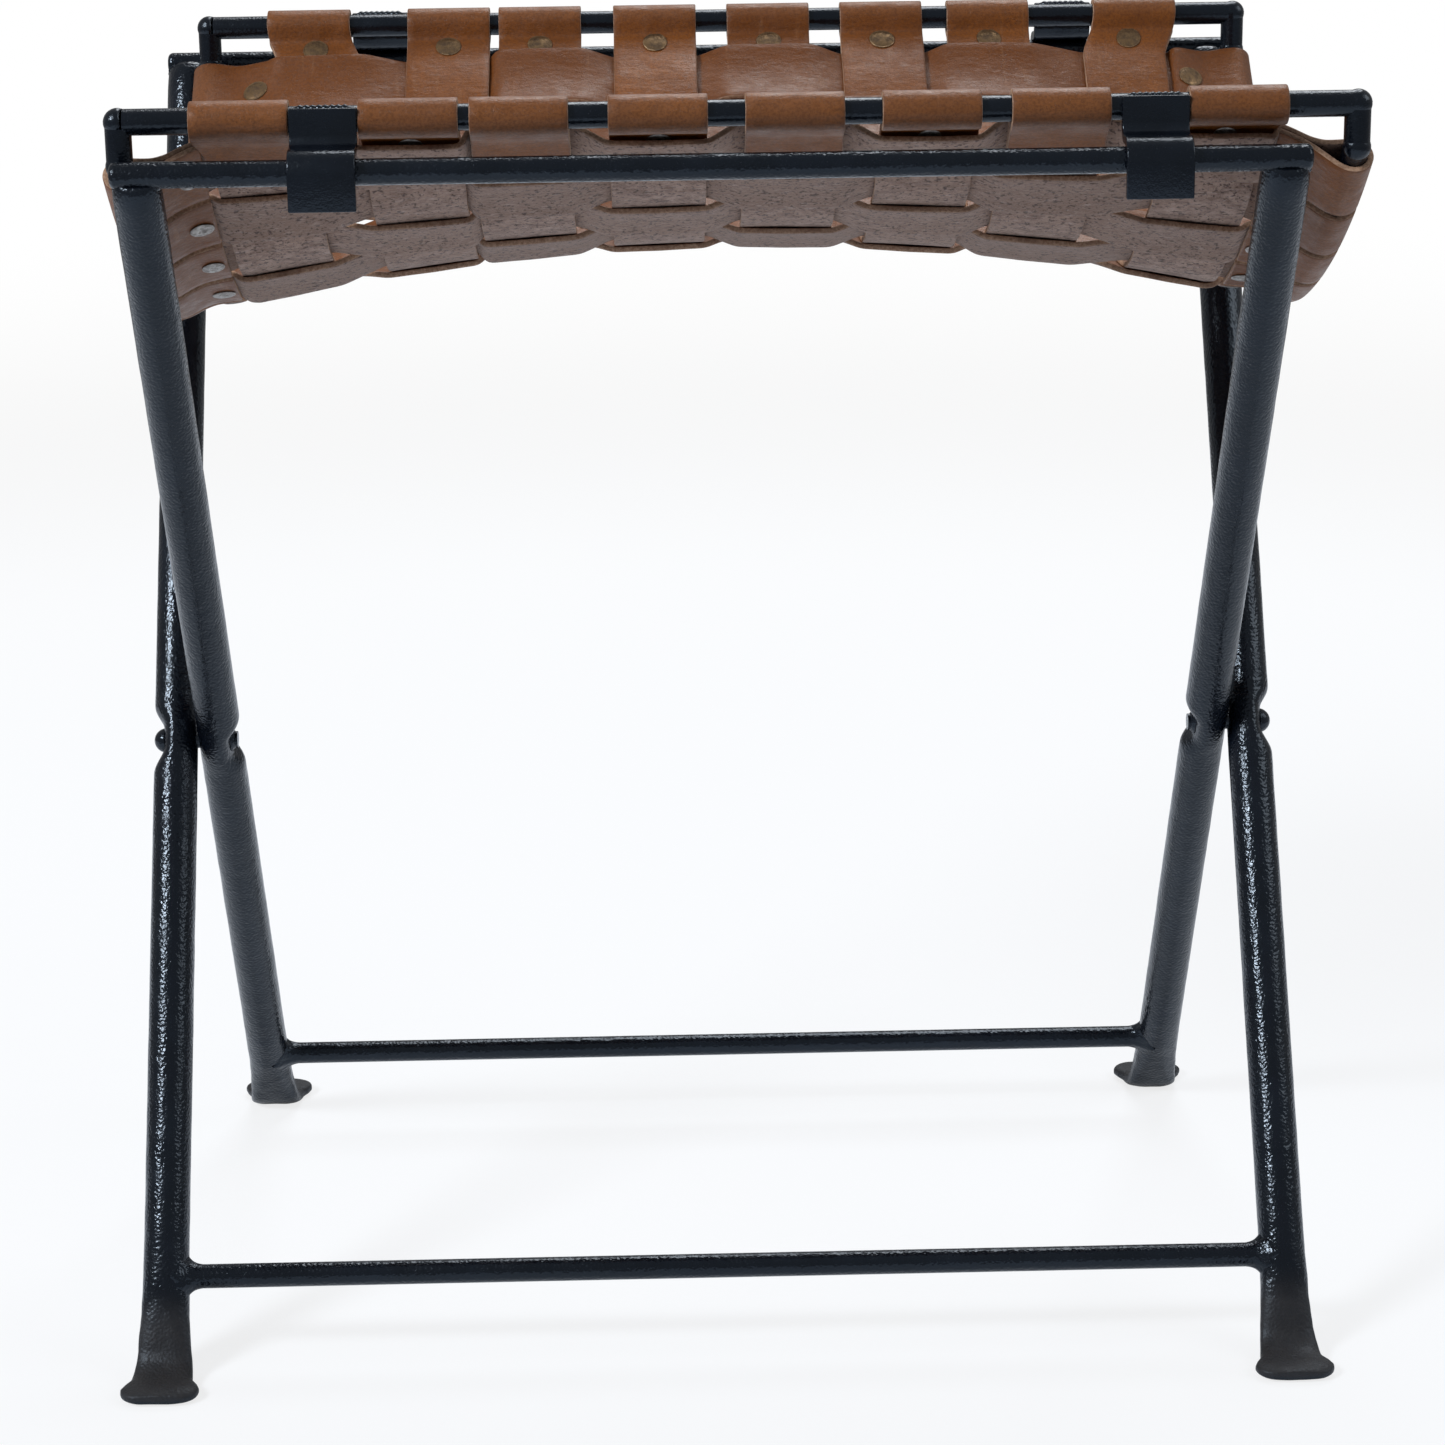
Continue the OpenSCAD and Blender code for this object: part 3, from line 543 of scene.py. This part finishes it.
def flesh_leather():
    material, shader, place = new_material("leather_flesh_side")
    nap = spread(material, cloud(material, place, 210, 8, 0.72), 0.34, 0.66)
    patches = spread(material, cloud(material, place, 34, 4, 0.6), 0.36, 0.66)
    fibres = cloud(material, place, 700, 6, 0.7, (0.3, 1.0, 1.0))
    colour = blend_colours(material, nap, (0.172, 0.100, 0.074), (0.385, 0.262, 0.204))
    colour = blend_colours(material, spread(material, patches, 0, 1, 0, 0.5), colour, (0.290, 0.180, 0.128))
    colour = blend_colours(material, attribute(material, "tone"), colour, (0.225, 0.140, 0.102))
    specks = spread(material, cloud(material, place, 640, 2, 0.6), 0.55, 0.64, 0, 0.9)
    colour = blend_colours(material, specks, colour, (0.066, 0.035, 0.025))
    pits = spread(material, cells(material, place, 520), 0.06, 0.20, 0.85, 0.0)
    colour = blend_colours(material, pits, colour, (0.070, 0.037, 0.026))
    pale = spread(material, fibres, 0.56, 0.68, 0, 0.5)
    colour = blend_colours(material, pale, colour, (0.46, 0.36, 0.32))
    link(material, colour, shader.inputs["Base Color"])
    shader.inputs["Roughness"].default_value = 0.82
    shader.inputs["Specular IOR Level"].default_value = 0.25
    shader.inputs["Sheen Weight"].default_value = 0.18
    shader.inputs["Sheen Roughness"].default_value = 0.5
    raise_surface(material, shader, (
        (cloud(material, place, 120, 4), 0.0007), (cloud(material, place, 520, 3, 0.7), 0.00060),
        (fibres, 0.0002)))
    return material


def cut_leather():
    material, shader, place = new_material("leather_cut_edge")
    fibre = spread(material, cloud(material, place, 900, 6, 0.7), 0.3, 0.7)
    colour = blend_colours(material, fibre, (0.240, 0.130, 0.078), (0.520, 0.340, 0.230))
    burnt = spread(material, cloud(material, place, 60, 4), 0.45, 0.7, 0, 0.6)
    colour = blend_colours(material, burnt, colour, (0.110, 0.052, 0.030))
    link(material, colour, shader.inputs["Base Color"])
    shader.inputs["Roughness"].default_value = 0.78
    raise_surface(material, shader, ((cloud(material, place, 1300, 4), 0.00025),))
    return material


grain, flesh, cut = grain_leather(), flesh_leather(), cut_leather()

# the sling: its middle surface is a belly arc and two flatter sides, hung between the basket's two rods and
# lowered at both ends. Everything below is in millimetres, measured from the middle of the basket.

basket_low, basket_high = (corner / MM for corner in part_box("basket_front_rod"))
basket_shift = (basket_low.x + basket_high.x) / 2
rod_height = (basket_low.z + basket_high.z) / 2
rod_y = -(basket_low.y + basket_high.y) / 2
left_bar, right_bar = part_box("basket_end_bar_left"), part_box("basket_end_bar_right")
half_l = (right_bar[0].x + right_bar[1].x - left_bar[0].x - left_bar[1].x) / 4 / MM
belly_r, side_r = 70.0, 330.0
belly_mid, belly_side, belly_end = 17.0, 24.5, 19.5
corner_drop = 14.0
last_strap_x = half_l - 31


def end_share(x):
    return smooth((abs(x) - last_strap_x) / (half_l - last_strap_x))


def belly_turn(x):
    q = min(1.0, abs(x) / last_strap_x)
    e = end_share(x)
    return math.radians((belly_mid + (belly_side - belly_mid) * q * q) * (1 - e) + belly_end * e)


def end_turn(x):
    b = math.sin(belly_turn(x))
    return math.asin((rod_y - belly_r * b) / side_r + b)


def rod_reach(x):
    return belly_r * belly_turn(x) + side_r * (end_turn(x) - belly_turn(x))


def turn_at(x, s):
    belly = belly_turn(x)
    return min(abs(s) / belly_r, belly + max(0.0, abs(s) - belly_r * belly) / side_r)


def sling(x, s, n):
    """Point of the sling at x and arc length s, raised n inwards. Past a rod it runs straight on."""
    rim = rod_reach(x)
    beyond = max(0.0, abs(s) - rim)
    belly, end = belly_turn(x), end_turn(x)
    turn = turn_at(x, min(abs(s), rim))
    low = min(turn, belly)
    rise = belly_r * (1 - math.cos(belly)) + side_r * (math.cos(belly) - math.cos(end))
    y = belly_r * math.sin(low) + side_r * (math.sin(turn) - math.sin(low)) + beyond * math.cos(turn)
    z = rod_height - corner_drop * end_share(x) - rise + belly_r * (1 - math.cos(low))
    z += side_r * (math.cos(low) - math.cos(turn)) + beyond * math.sin(turn)
    way = -1 if s < 0 else 1
    return Vector((x + basket_shift, way * (y - n * math.sin(turn)), z + n * math.cos(turn)))


# ---------------------------------------------------------------- cross straps
# Eight straps run from rod to rod. Each end goes over its rod, grain side out, and back on itself, and one
# rivet holds the two plies. In between the strap passes over and under the nine long straps.

strap_t = 2.0
weave_gap = 0.3
cross_w = 31.5
swing = (strap_t + weave_gap) / 2
apart = strap_t + weave_gap
loop_r = rod_r + 0.2 + strap_t / 2
ply = strap_t + 0.1
cross_x = [-158.5, -105, -70, -26, 17.5, 61, 102, 158.5]
bow, bow_start, bow_end = 5.0, 22.0, 2.0
front_edge, rear_edge, end_edge = 10.0, 17.4, 5.0
long_w = 28.6
rivet_u, flap_u = 12.5, 17.2
low_rivet_u, low_flap_u, low_dip = 23.0, 28.5, 1.5


def row_pitch(x):
    e = end_share(x)
    return (2 * rod_reach(x) - (front_edge + rear_edge) * (1 - e) - 2 * end_edge * e - long_w) / 8


def row_at(row, x):
    e = end_share(x)
    return rod_reach(x) - rear_edge * (1 - e) - end_edge * e - long_w / 2 - (4 - row) * row_pitch(x)


def inside(row, k):
    """1 where the long strap of a row lies inside cross strap k, and -1 where it lies outside."""
    return 1 if (row + k + 10) % 2 == 1 else -1


def cross_at(k, s):
    """Middle of cross strap k at s: the outermost two are drawn inwards below the rods."""
    x = cross_x[k - 1]
    if k not in (1, 8):
        return x
    from_rod = rod_reach(x) - abs(s)
    pull = bow * (1 - smooth((bow_start - from_rod) / (bow_start - bow_end)))
    return x - math.copysign(pull, x)


def eased(stations, step, rounds):
    """Fills in points between stations and softens the corners, as leather bends."""
    dense = [stations[0]]
    for a, b in zip(stations, stations[1:]):
        parts = max(1, math.ceil(np.linalg.norm((b - a)[:2]) / step))
        dense += [a + (b - a) * i / parts for i in range(1, parts + 1)]
    line = np.array(dense)
    for _ in range(rounds):
        line[1:-1] = line[1:-1] / 2 + (line[:-2] + line[2:]) / 4
    return line


def front_low(k, side):
    """In front, every second strap ends in a long flap that passes outside the first long strap."""
    return side < 0 and inside(-4, k) > 0


def cross_end(k, side):
    """One end from the flap's tip round the rod to the weave, as distance from the rod and height."""
    turns = [a * math.pi / 12 for a in range(12, -1, -1)]
    round_rod = [(-loop_r * math.sin(a), loop_r * math.cos(a)) for a in turns]
    if front_low(k, side):
        n = -low_dip
        flap = [(low_flap_u, n - ply), (18, n - ply), (12, -3.2), (7.8, -3.4), (5, -4.4), (2.5, -5)]
        main = [(2.5, 4.75), (5, 2.9), (7.8, 0.6), (12, -0.4), (18, n), (low_flap_u, n)]
    else:
        n = ply / 2 if side < 0 else 0.0
        rises = [(2.5, 0.88), (5, 0.5), (7.8, 0)]
        flap = [(flap_u, n - ply)] + [(u, n - ply - (loop_r + n - ply) * f) for u, f in reversed(rises)]
        main = [(u, n + (loop_r - n) * f) for u, f in rises] + [(flap_u, n)]
    return flap + round_rod + main


def cross_line(k):
    """The whole strap as points of arc length and height, from the front flap to the rear flap."""
    x = cross_x[k - 1]
    rim = rod_reach(x)
    ends = {side: [(side * (rim - u), h) for u, h in cross_end(k, side)] for side in (-1, 1)}
    weave = [(row_at(row, x) + q * row_pitch(x) / 2, -inside(row, k) * swing * math.cos(q * math.pi / 2))
             for row in range(-4, 5) for q in (-1, -0.5, 0, 0.5)
             if not (row == -4 and (q < 0 or front_low(k, -1)))]
    return eased([np.array(p, float) for p in ends[-1] + weave + ends[1][::-1]], 0.8, 5)


def thicken(piece, edge=0.42):
    """Gives the laid-out strap its thickness, both ways from the middle, and rounds its cut edges."""
    for material in (grain, flesh, cut):
        piece.data.materials.append(material)
    solid = piece.modifiers.new("thickness", "SOLIDIFY")
    solid.thickness = strap_t * MM
    solid.offset = 0
    solid.material_offset = 1
    solid.material_offset_rim = 2
    bevel = piece.modifiers.new("worn_edge", "BEVEL")
    bevel.width = edge * MM
    bevel.segments = 2
    bevel.angle_limit = math.radians(55)
    bpy.context.view_layer.objects.active = piece
    bpy.ops.object.modifier_apply(modifier=solid.name)
    bpy.ops.object.modifier_apply(modifier=bevel.name)


cross_tones = [0.05, 0.30, 0.15, 0.08, 0.26, 0.34, 0.15, 0.02]
across_cells = 10


def cross_strap(k):
    line = cross_line(k)
    mid = cross_x[k - 1]
    rim = rod_reach(mid)
    last = len(line) - 1
    bends = []

    def place(u, v):
        s, n = line[round(v * last)]
        w = (u - 0.5) * cross_w
        # leather is never cut quite true: the edges wander by a few tenths of a millimetre
        w += 0.22 * noise.noise(Vector((s * 0.05, k * 7.0, 3.0 * u)))
        loose = smooth((rim - abs(s) - 6) / 14)
        x = cross_at(k, s) + w
        own = mid + (x - mid) * loose
        beyond = max(0.0, abs(s) - rim)
        reach = math.copysign(min(abs(s), rim) * rod_reach(own) / rim + beyond, s)
        bends.append(smooth((abs(s) - rim + 5) / 5))
        ripple = 0.10 * noise.noise(Vector((s * 0.045, w * 0.06, k * 3.3))) * loose
        spot = sling(own, reach, n + ripple)
        spot.x = x + basket_shift
        return spot

    piece = laid_grid(f"leather_cross_strap_{k}", across_cells, last, place)
    mark_points(piece, "tone", [cross_tones[k - 1]] * len(bends))
    mark_points(piece, "bend", bends)
    thicken(piece)
    finish_piece(piece, None, "basket", [f"cross_strap_{k}"], 50)


for k in range(1, 9):
    cross_strap(k)

# ---------------------------------------------------------------- long straps
# Nine straps run the length of the rack, loop round the two end bars and are riveted back on themselves.
# Where one crosses a cross strap it hugs it, so that it is hollow across its width.

end_rivet_u, end_flap_u = 19.5, 24.7
end_steps = [(2.5, 0.93), (5, 0.75), (10, 0.25), (14.5, 0)]
edge_room, bow_room, crown_rise = 0.6, 2.1, 0.35
front_over = [0.7, 0.6, 0.45, 0.2, 0]
front_under = [-2.2, -2.2, -1.1, -0.3, 0]
rear_curl = [0, 0, 0.1, 0.35, 0.6]
quarters = [0, 0.25, 0.5, 0.75, 1]


def long_height(row, k, u):
    """Height of the long strap's middle at crossing k, at share u of its width from its front edge."""
    way = inside(row, k)
    lift = front_over if way > 0 and row == -4 else front_under if row == -4 else None
    extra = float(np.interp(u, quarters, lift)) if lift else 0.0
    if row == 4:
        extra = way * float(np.interp(u, quarters, rear_curl))
    return way * (apart - swing * math.cos((u - 0.5) * math.pi)) + extra


def long_line(row, columns):
    """Stations from left flap to right flap: x, height in the middle, then height at each column."""
    def station(x, heights):
        return np.array([x, heights[len(heights) // 2]] + heights, float)

    def end(side):
        def level(u, h):
            return station(side * (half_l - u), [h] * len(columns))

        out = [level(end_flap_u, -ply / 2)] + [
            level(u, -ply / 2 - (loop_r - ply / 2) * f) for u, f in reversed(end_steps)]
        out += [level(-loop_r * math.sin(a * math.pi / 12), loop_r * math.cos(a * math.pi / 12))
                for a in range(12, -1, -1)]
        out += [level(u, ply / 2 + (loop_r - ply / 2) * f) for u, f in end_steps]
        return out + [level(end_flap_u, ply / 2)]

    middle = []
    for k in range(1, 9):
        heights = [long_height(row, k, u) for u in columns]
        x = cross_at(k, row_at(row, cross_x[k - 1]))
        for way in (-1, 1):
            room = bow_room if abs(row) == 4 and k in (1, 8) and way * cross_x[k - 1] > 0 else 0.0
            middle.append(station(x + way * (cross_w / 2 + edge_room + room), heights))
        # the middle of a crossing springs away from the strap that it covers
        crown = [h + inside(row, k) * crown_rise for h in heights]
        middle.insert(-1, station(x, crown))
    return eased(end(-1) + middle + end(1)[::-1], 0.9, 6)


# the leather gives a little at its edges, so that neighbours almost touch
spare = 0.6
long_tones = [0.45, 0.75, 0.60, 0.90, 0.55, 0.70, 0.60, 0.85, 0.65]


def long_strap(row):
    columns = [i / across_cells for i in range(across_cells + 1)]
    line = long_line(row, columns)
    last = len(line) - 1
    bends = []

    def place(u, v):
        station = line[round(v * last)]
        # laid from the rear edge to the front edge, so that the grain side faces into the basket
        column = across_cells - round(u * across_cells)
        x, n = station[0], station[2 + column]
        inner_x = max(-half_l, min(half_l, x))
        s = row_at(row, inner_x) + (0.5 - u) * (long_w + spare)
        s += 0.25 * noise.noise(Vector((x * 0.05, row * 5.0, 3.0 * u)))
        bends.append(smooth((abs(x) - half_l + 5) / 5))
        spot = sling(inner_x, s, n)
        spot.x = x + basket_shift
        return spot

    number = row + 5
    piece = laid_grid(f"leather_long_strap_{number}", across_cells, last, place)
    mark_points(piece, "tone", [long_tones[number - 1]] * len(bends))
    mark_points(piece, "bend", bends)
    thicken(piece)
    finish_piece(piece, None, "basket", [f"long_strap_{number}"], 50)


for row in range(-4, 5):
    long_strap(row)

# ---------------------------------------------------------------- strap rivets
# Each flap is held by one tubular rivet. On the grain side it has a domed cap of aged brass with a turned
# rim, and on the other a plain steel disc that is upset over the end of the post.


def aged_brass():
    material, shader, place = new_material("aged_brass")
    tarnish = spread(material, cloud(material, place, 420, 6, 0.65), 0.36, 0.66)
    colour = blend_colours(material, tarnish, (0.235, 0.150, 0.075), (0.095, 0.062, 0.038))
    spots = spread(material, cloud(material, place, 1500, 3), 0.62, 0.7, 0, 0.7)
    colour = blend_colours(material, spots, colour, (0.06, 0.042, 0.03))
    link(material, colour, shader.inputs["Base Color"])
    shader.inputs["Metallic"].default_value = 0.8
    link(material, spread(material, tarnish, 0, 1, 0.30, 0.55), shader.inputs["Roughness"])
    scratches = cloud(material, place, 1600, 3, 0.5, (1.0, 0.08, 0.3))
    raise_surface(material, shader, ((scratches, 0.00010), (cloud(material, place, 900, 3), 0.00006)))
    return material


def dull_steel():
    material, shader, place = new_material("dull_steel")
    film = spread(material, cloud(material, place, 500, 6, 0.65), 0.35, 0.66)
    colour = blend_colours(material, film, (0.42, 0.40, 0.38), (0.21, 0.19, 0.175))
    link(material, colour, shader.inputs["Base Color"])
    shader.inputs["Metallic"].default_value = 0.85
    link(material, spread(material, film, 0, 1, 0.38, 0.58), shader.inputs["Roughness"])
    raise_surface(material, shader, ((cloud(material, place, 1400, 4, 0.6, (1.0, 0.1, 0.4)), 0.00012),))
    return material


brass, steel = aged_brass(), dull_steel()
# outlines as radius and height above the leather
cap_outline = [(0, 0.66), (1.5, 0.63), (2.8, 0.55), (3.7, 0.42), (4.15, 0.30), (4.35, 0.30), (4.62, 0.34),
               (4.75, 0.20), (4.72, 0.02), (4.5, -0.02), (0, -0.02)]
back_outline = [(0, 0.20), (0.8, 0.22), (1.25, 0.44), (1.55, 0.62), (1.9, 0.60), (2.1, 0.46), (3.2, 0.45),
                (3.75, 0.42), (4.0, 0.28), (3.98, 0.02), (3.8, -0.02), (0, -0.02)]
cap_r = 4.75
seat_room = 0.12


def turned(name, outline, spot, axes, dent_at):
    """Spins an outline round the rivet's axis, which is the last of the three axes."""
    last = len(outline) - 1

    def place(u, v):
        r, h = outline[round(v * last)]
        a = u * 2 * math.pi
        dent = 1 + 0.03 * math.sin(2 * a + dent_at)
        return spot + axes[0] * (r * dent * math.cos(a)) + axes[1] * (r * dent * math.sin(a)) + axes[2] * h

    piece = laid_grid(name, 28, last, place)
    close_seams(piece)
    return piece


def rivet_axes(along, across):
    z = along.cross(across).normalized()
    across = z.cross(along).normalized()
    return [along.normalized(), across, z]


def cross_rivet(k, side):
    """Middle of the leather between the two plies, and the strap's own axes there."""
    x = cross_x[k - 1]
    low = front_low(k, side)
    s = side * (rod_reach(x) - (low_rivet_u if low else rivet_u))
    n = (-low_dip if low else ply / 2 if side < 0 else 0.0) - ply / 2
    shift = Vector((cross_at(k, s) - x, 0, 0))
    ahead = sling(x, s + 1, n) - sling(x, s - 1, n)
    return sling(x, s, n) + shift, rivet_axes(Vector((1, 0, 0)), ahead)


def long_rivet(row, side):
    u_in, u_out = end_flap_u, end_steps[-1][0]

    def at(u, w=0.0):
        x = side * (half_l - u)
        return sling(x, row_at(row, x) + w, 0)

    t = (u_in - end_rivet_u) / (u_in - u_out)
    spot = at(u_in) * (1 - t) + at(u_out) * t
    axes = rivet_axes(side * (at(u_out) - at(u_in)), at(end_rivet_u, cap_r) - at(end_rivet_u, -cap_r))
    # how far the hollow strap rises above its middle, measured at a quarter of its width, at the cap's rim
    quarter = long_w / 4
    rise = (at(end_rivet_u, quarter) + at(end_rivet_u, -quarter)) / 2 - at(end_rivet_u)
    hollow = rise.dot(axes[2]) * cap_r / quarter
    return spot, axes, max(0.0, hollow)


def rivet_row(edge, places):
    """Caps and backs of one edge of the basket."""
    top = ply - 0.05 + seat_room
    caps, backs = [], []
    for number, (spot, axes, hollow) in enumerate(places):
        caps.append(turned("cap", cap_outline, spot + axes[2] * (top + hollow), axes, number * 1.7))
        below = [axes[0], -axes[1], -axes[2]]
        backs.append(turned("back", back_outline, spot - axes[2] * top, below, number * 2.3))
    caps = join_pieces(f"brass_caps_{edge}", caps)
    finish_piece(caps, brass, "basket", [f"{edge}_rivet_caps"], 35)
    backs = join_pieces(f"steel_backs_{edge}", backs)
    finish_piece(backs, steel, "basket", [f"{edge}_rivet_backs"], 35)


rivet_row("front", [(*cross_rivet(k, -1), 0.0) for k in range(1, 9)])
rivet_row("rear", [(*cross_rivet(k, 1), 0.0) for k in range(1, 9)])
rivet_row("left", [long_rivet(row, -1) for row in range(-4, 5)])
rivet_row("right", [long_rivet(row, 1) for row in range(-4, 5)])

# ---------------------------------------------------------------- floor, light and camera
# The rack stands on pale paper in a studio with dark walls, under three soft boxes at a plain level. The
# backdrop's white is in the floor's and the world's own materials, and adds no light to the rack.

backdrop_mirrored = 0.25


def shown_white(owner):
    """How much plain white a ray finds: all of it from the camera, and part of it in what mirrors it."""
    rays = owner.node_tree.nodes.new("ShaderNodeLightPath")
    glossy, clear = rays.outputs["Is Glossy Ray"], rays.outputs["Is Transmission Ray"]
    mirrored = worked_out(owner, glossy, clear, "MAXIMUM")
    mirrored = worked_out(owner, mirrored, backdrop_mirrored, "MULTIPLY")
    return worked_out(owner, rays.outputs["Is Camera Ray"], mirrored, "MAXIMUM")


bpy.ops.object.select_all(action="DESELECT")
bpy.ops.mesh.primitive_plane_add(size=24, location=(0, 0, 0))
floor = bpy.context.object
floor.name = "floor"
paper, paper_shader, paper_place = new_material("white_floor")
tree = paper.node_tree
distance = tree.nodes.new("ShaderNodeVectorMath")
distance.operation = "LENGTH"
link(paper, paper_place, distance.inputs[0])
# the paper ends between 0.95 and 1.7 m from the middle, and the dark studio floor begins
studio_floor = spread(paper, distance.outputs["Value"], 0.95, 1.7)
floor_colour = blend_colours(paper, studio_floor, (0.83, 0.90, 1.0), (0.09, 0.10, 0.12))
link(paper, floor_colour, paper_shader.inputs["Base Color"])
paper_shader.inputs["Roughness"].default_value = 0.9
paper_shader.inputs["Specular IOR Level"].default_value = 0.1
glow = tree.nodes.new("ShaderNodeEmission")
glow.inputs["Color"].default_value = (1, 1, 1, 1)
seen = tree.nodes.new("ShaderNodeMixShader")
# near the feet a part of the lit paper shows, with the rack's shadow on it
plain_white = spread(paper, distance.outputs["Value"], 0.2, 2.4, 0.78, 1.0)
link(paper, worked_out(paper, shown_white(paper), plain_white, "MULTIPLY"), seen.inputs["Fac"])
link(paper, paper_shader.outputs["BSDF"], seen.inputs[1])
link(paper, glow.outputs["Emission"], seen.inputs[2])
link(paper, seen.outputs["Shader"], tree.nodes["Material Output"].inputs["Surface"])
floor.data.materials.append(paper)

world = bpy.data.worlds.new("studio")
bpy.context.scene.world = world
world.use_nodes = True
sky = world.node_tree.nodes["Background"]
sky.inputs["Color"].default_value = (0.90, 0.94, 1.0, 1)
sky.inputs["Strength"].default_value = 0.13
white = world.node_tree.nodes.new("ShaderNodeBackground")
white.inputs["Color"].default_value = (1, 1, 1, 1)
chosen = world.node_tree.nodes.new("ShaderNodeMixShader")
link(world, shown_white(world), chosen.inputs["Fac"])
link(world, sky.outputs["Background"], chosen.inputs[1])
link(world, white.outputs["Background"], chosen.inputs[2])
link(world, chosen.outputs["Shader"], world.node_tree.nodes["World Output"].inputs["Surface"])

basket_middle = Vector((0, 0, 0.28))


def soft_box(name, place, size, watts):
    """A square lamp that looks at the basket."""
    bpy.ops.object.light_add(type="AREA", location=place)
    lamp = bpy.context.object
    lamp.name = name
    lamp.data.size = size
    lamp.data.energy = watts
    lamp.rotation_euler = (basket_middle - Vector(place)).to_track_quat("-Z", "Y").to_euler()


soft_box("key_box", (-1.9, -1.25, 1.95), 0.7, 58)
soft_box("fill_box", (2.2, -0.4, 1.9), 1.5, 18)
soft_box("rear_box", (0.3, 1.5, 2.3), 1.4, 32)

# the camera stands 1.3 m in front at table height and looks down a little, with its lens shifted slightly
eye = Vector((-19.7, -1311.7, 603.4)) * MM
pitch, yaw, roll = math.radians(15.96), math.radians(1.02), math.radians(-0.76)
forward = Vector((math.sin(yaw) * math.cos(pitch), math.cos(yaw) * math.cos(pitch), -math.sin(pitch)))
right = Vector((math.cos(yaw), -math.sin(yaw), 0))
upward = right.cross(forward)
right, upward = (right * math.cos(roll) + upward * math.sin(roll),
                 upward * math.cos(roll) - right * math.sin(roll))
bpy.ops.object.camera_add(location=eye)
camera = bpy.context.object
camera.rotation_euler = Matrix((right, upward, -forward)).transposed().to_euler()
camera.data.sensor_width = 36
camera.data.lens = 92.59
camera.data.shift_y = -0.05
bpy.context.scene.camera = camera
bpy.context.scene.view_settings.view_transform = "Standard"
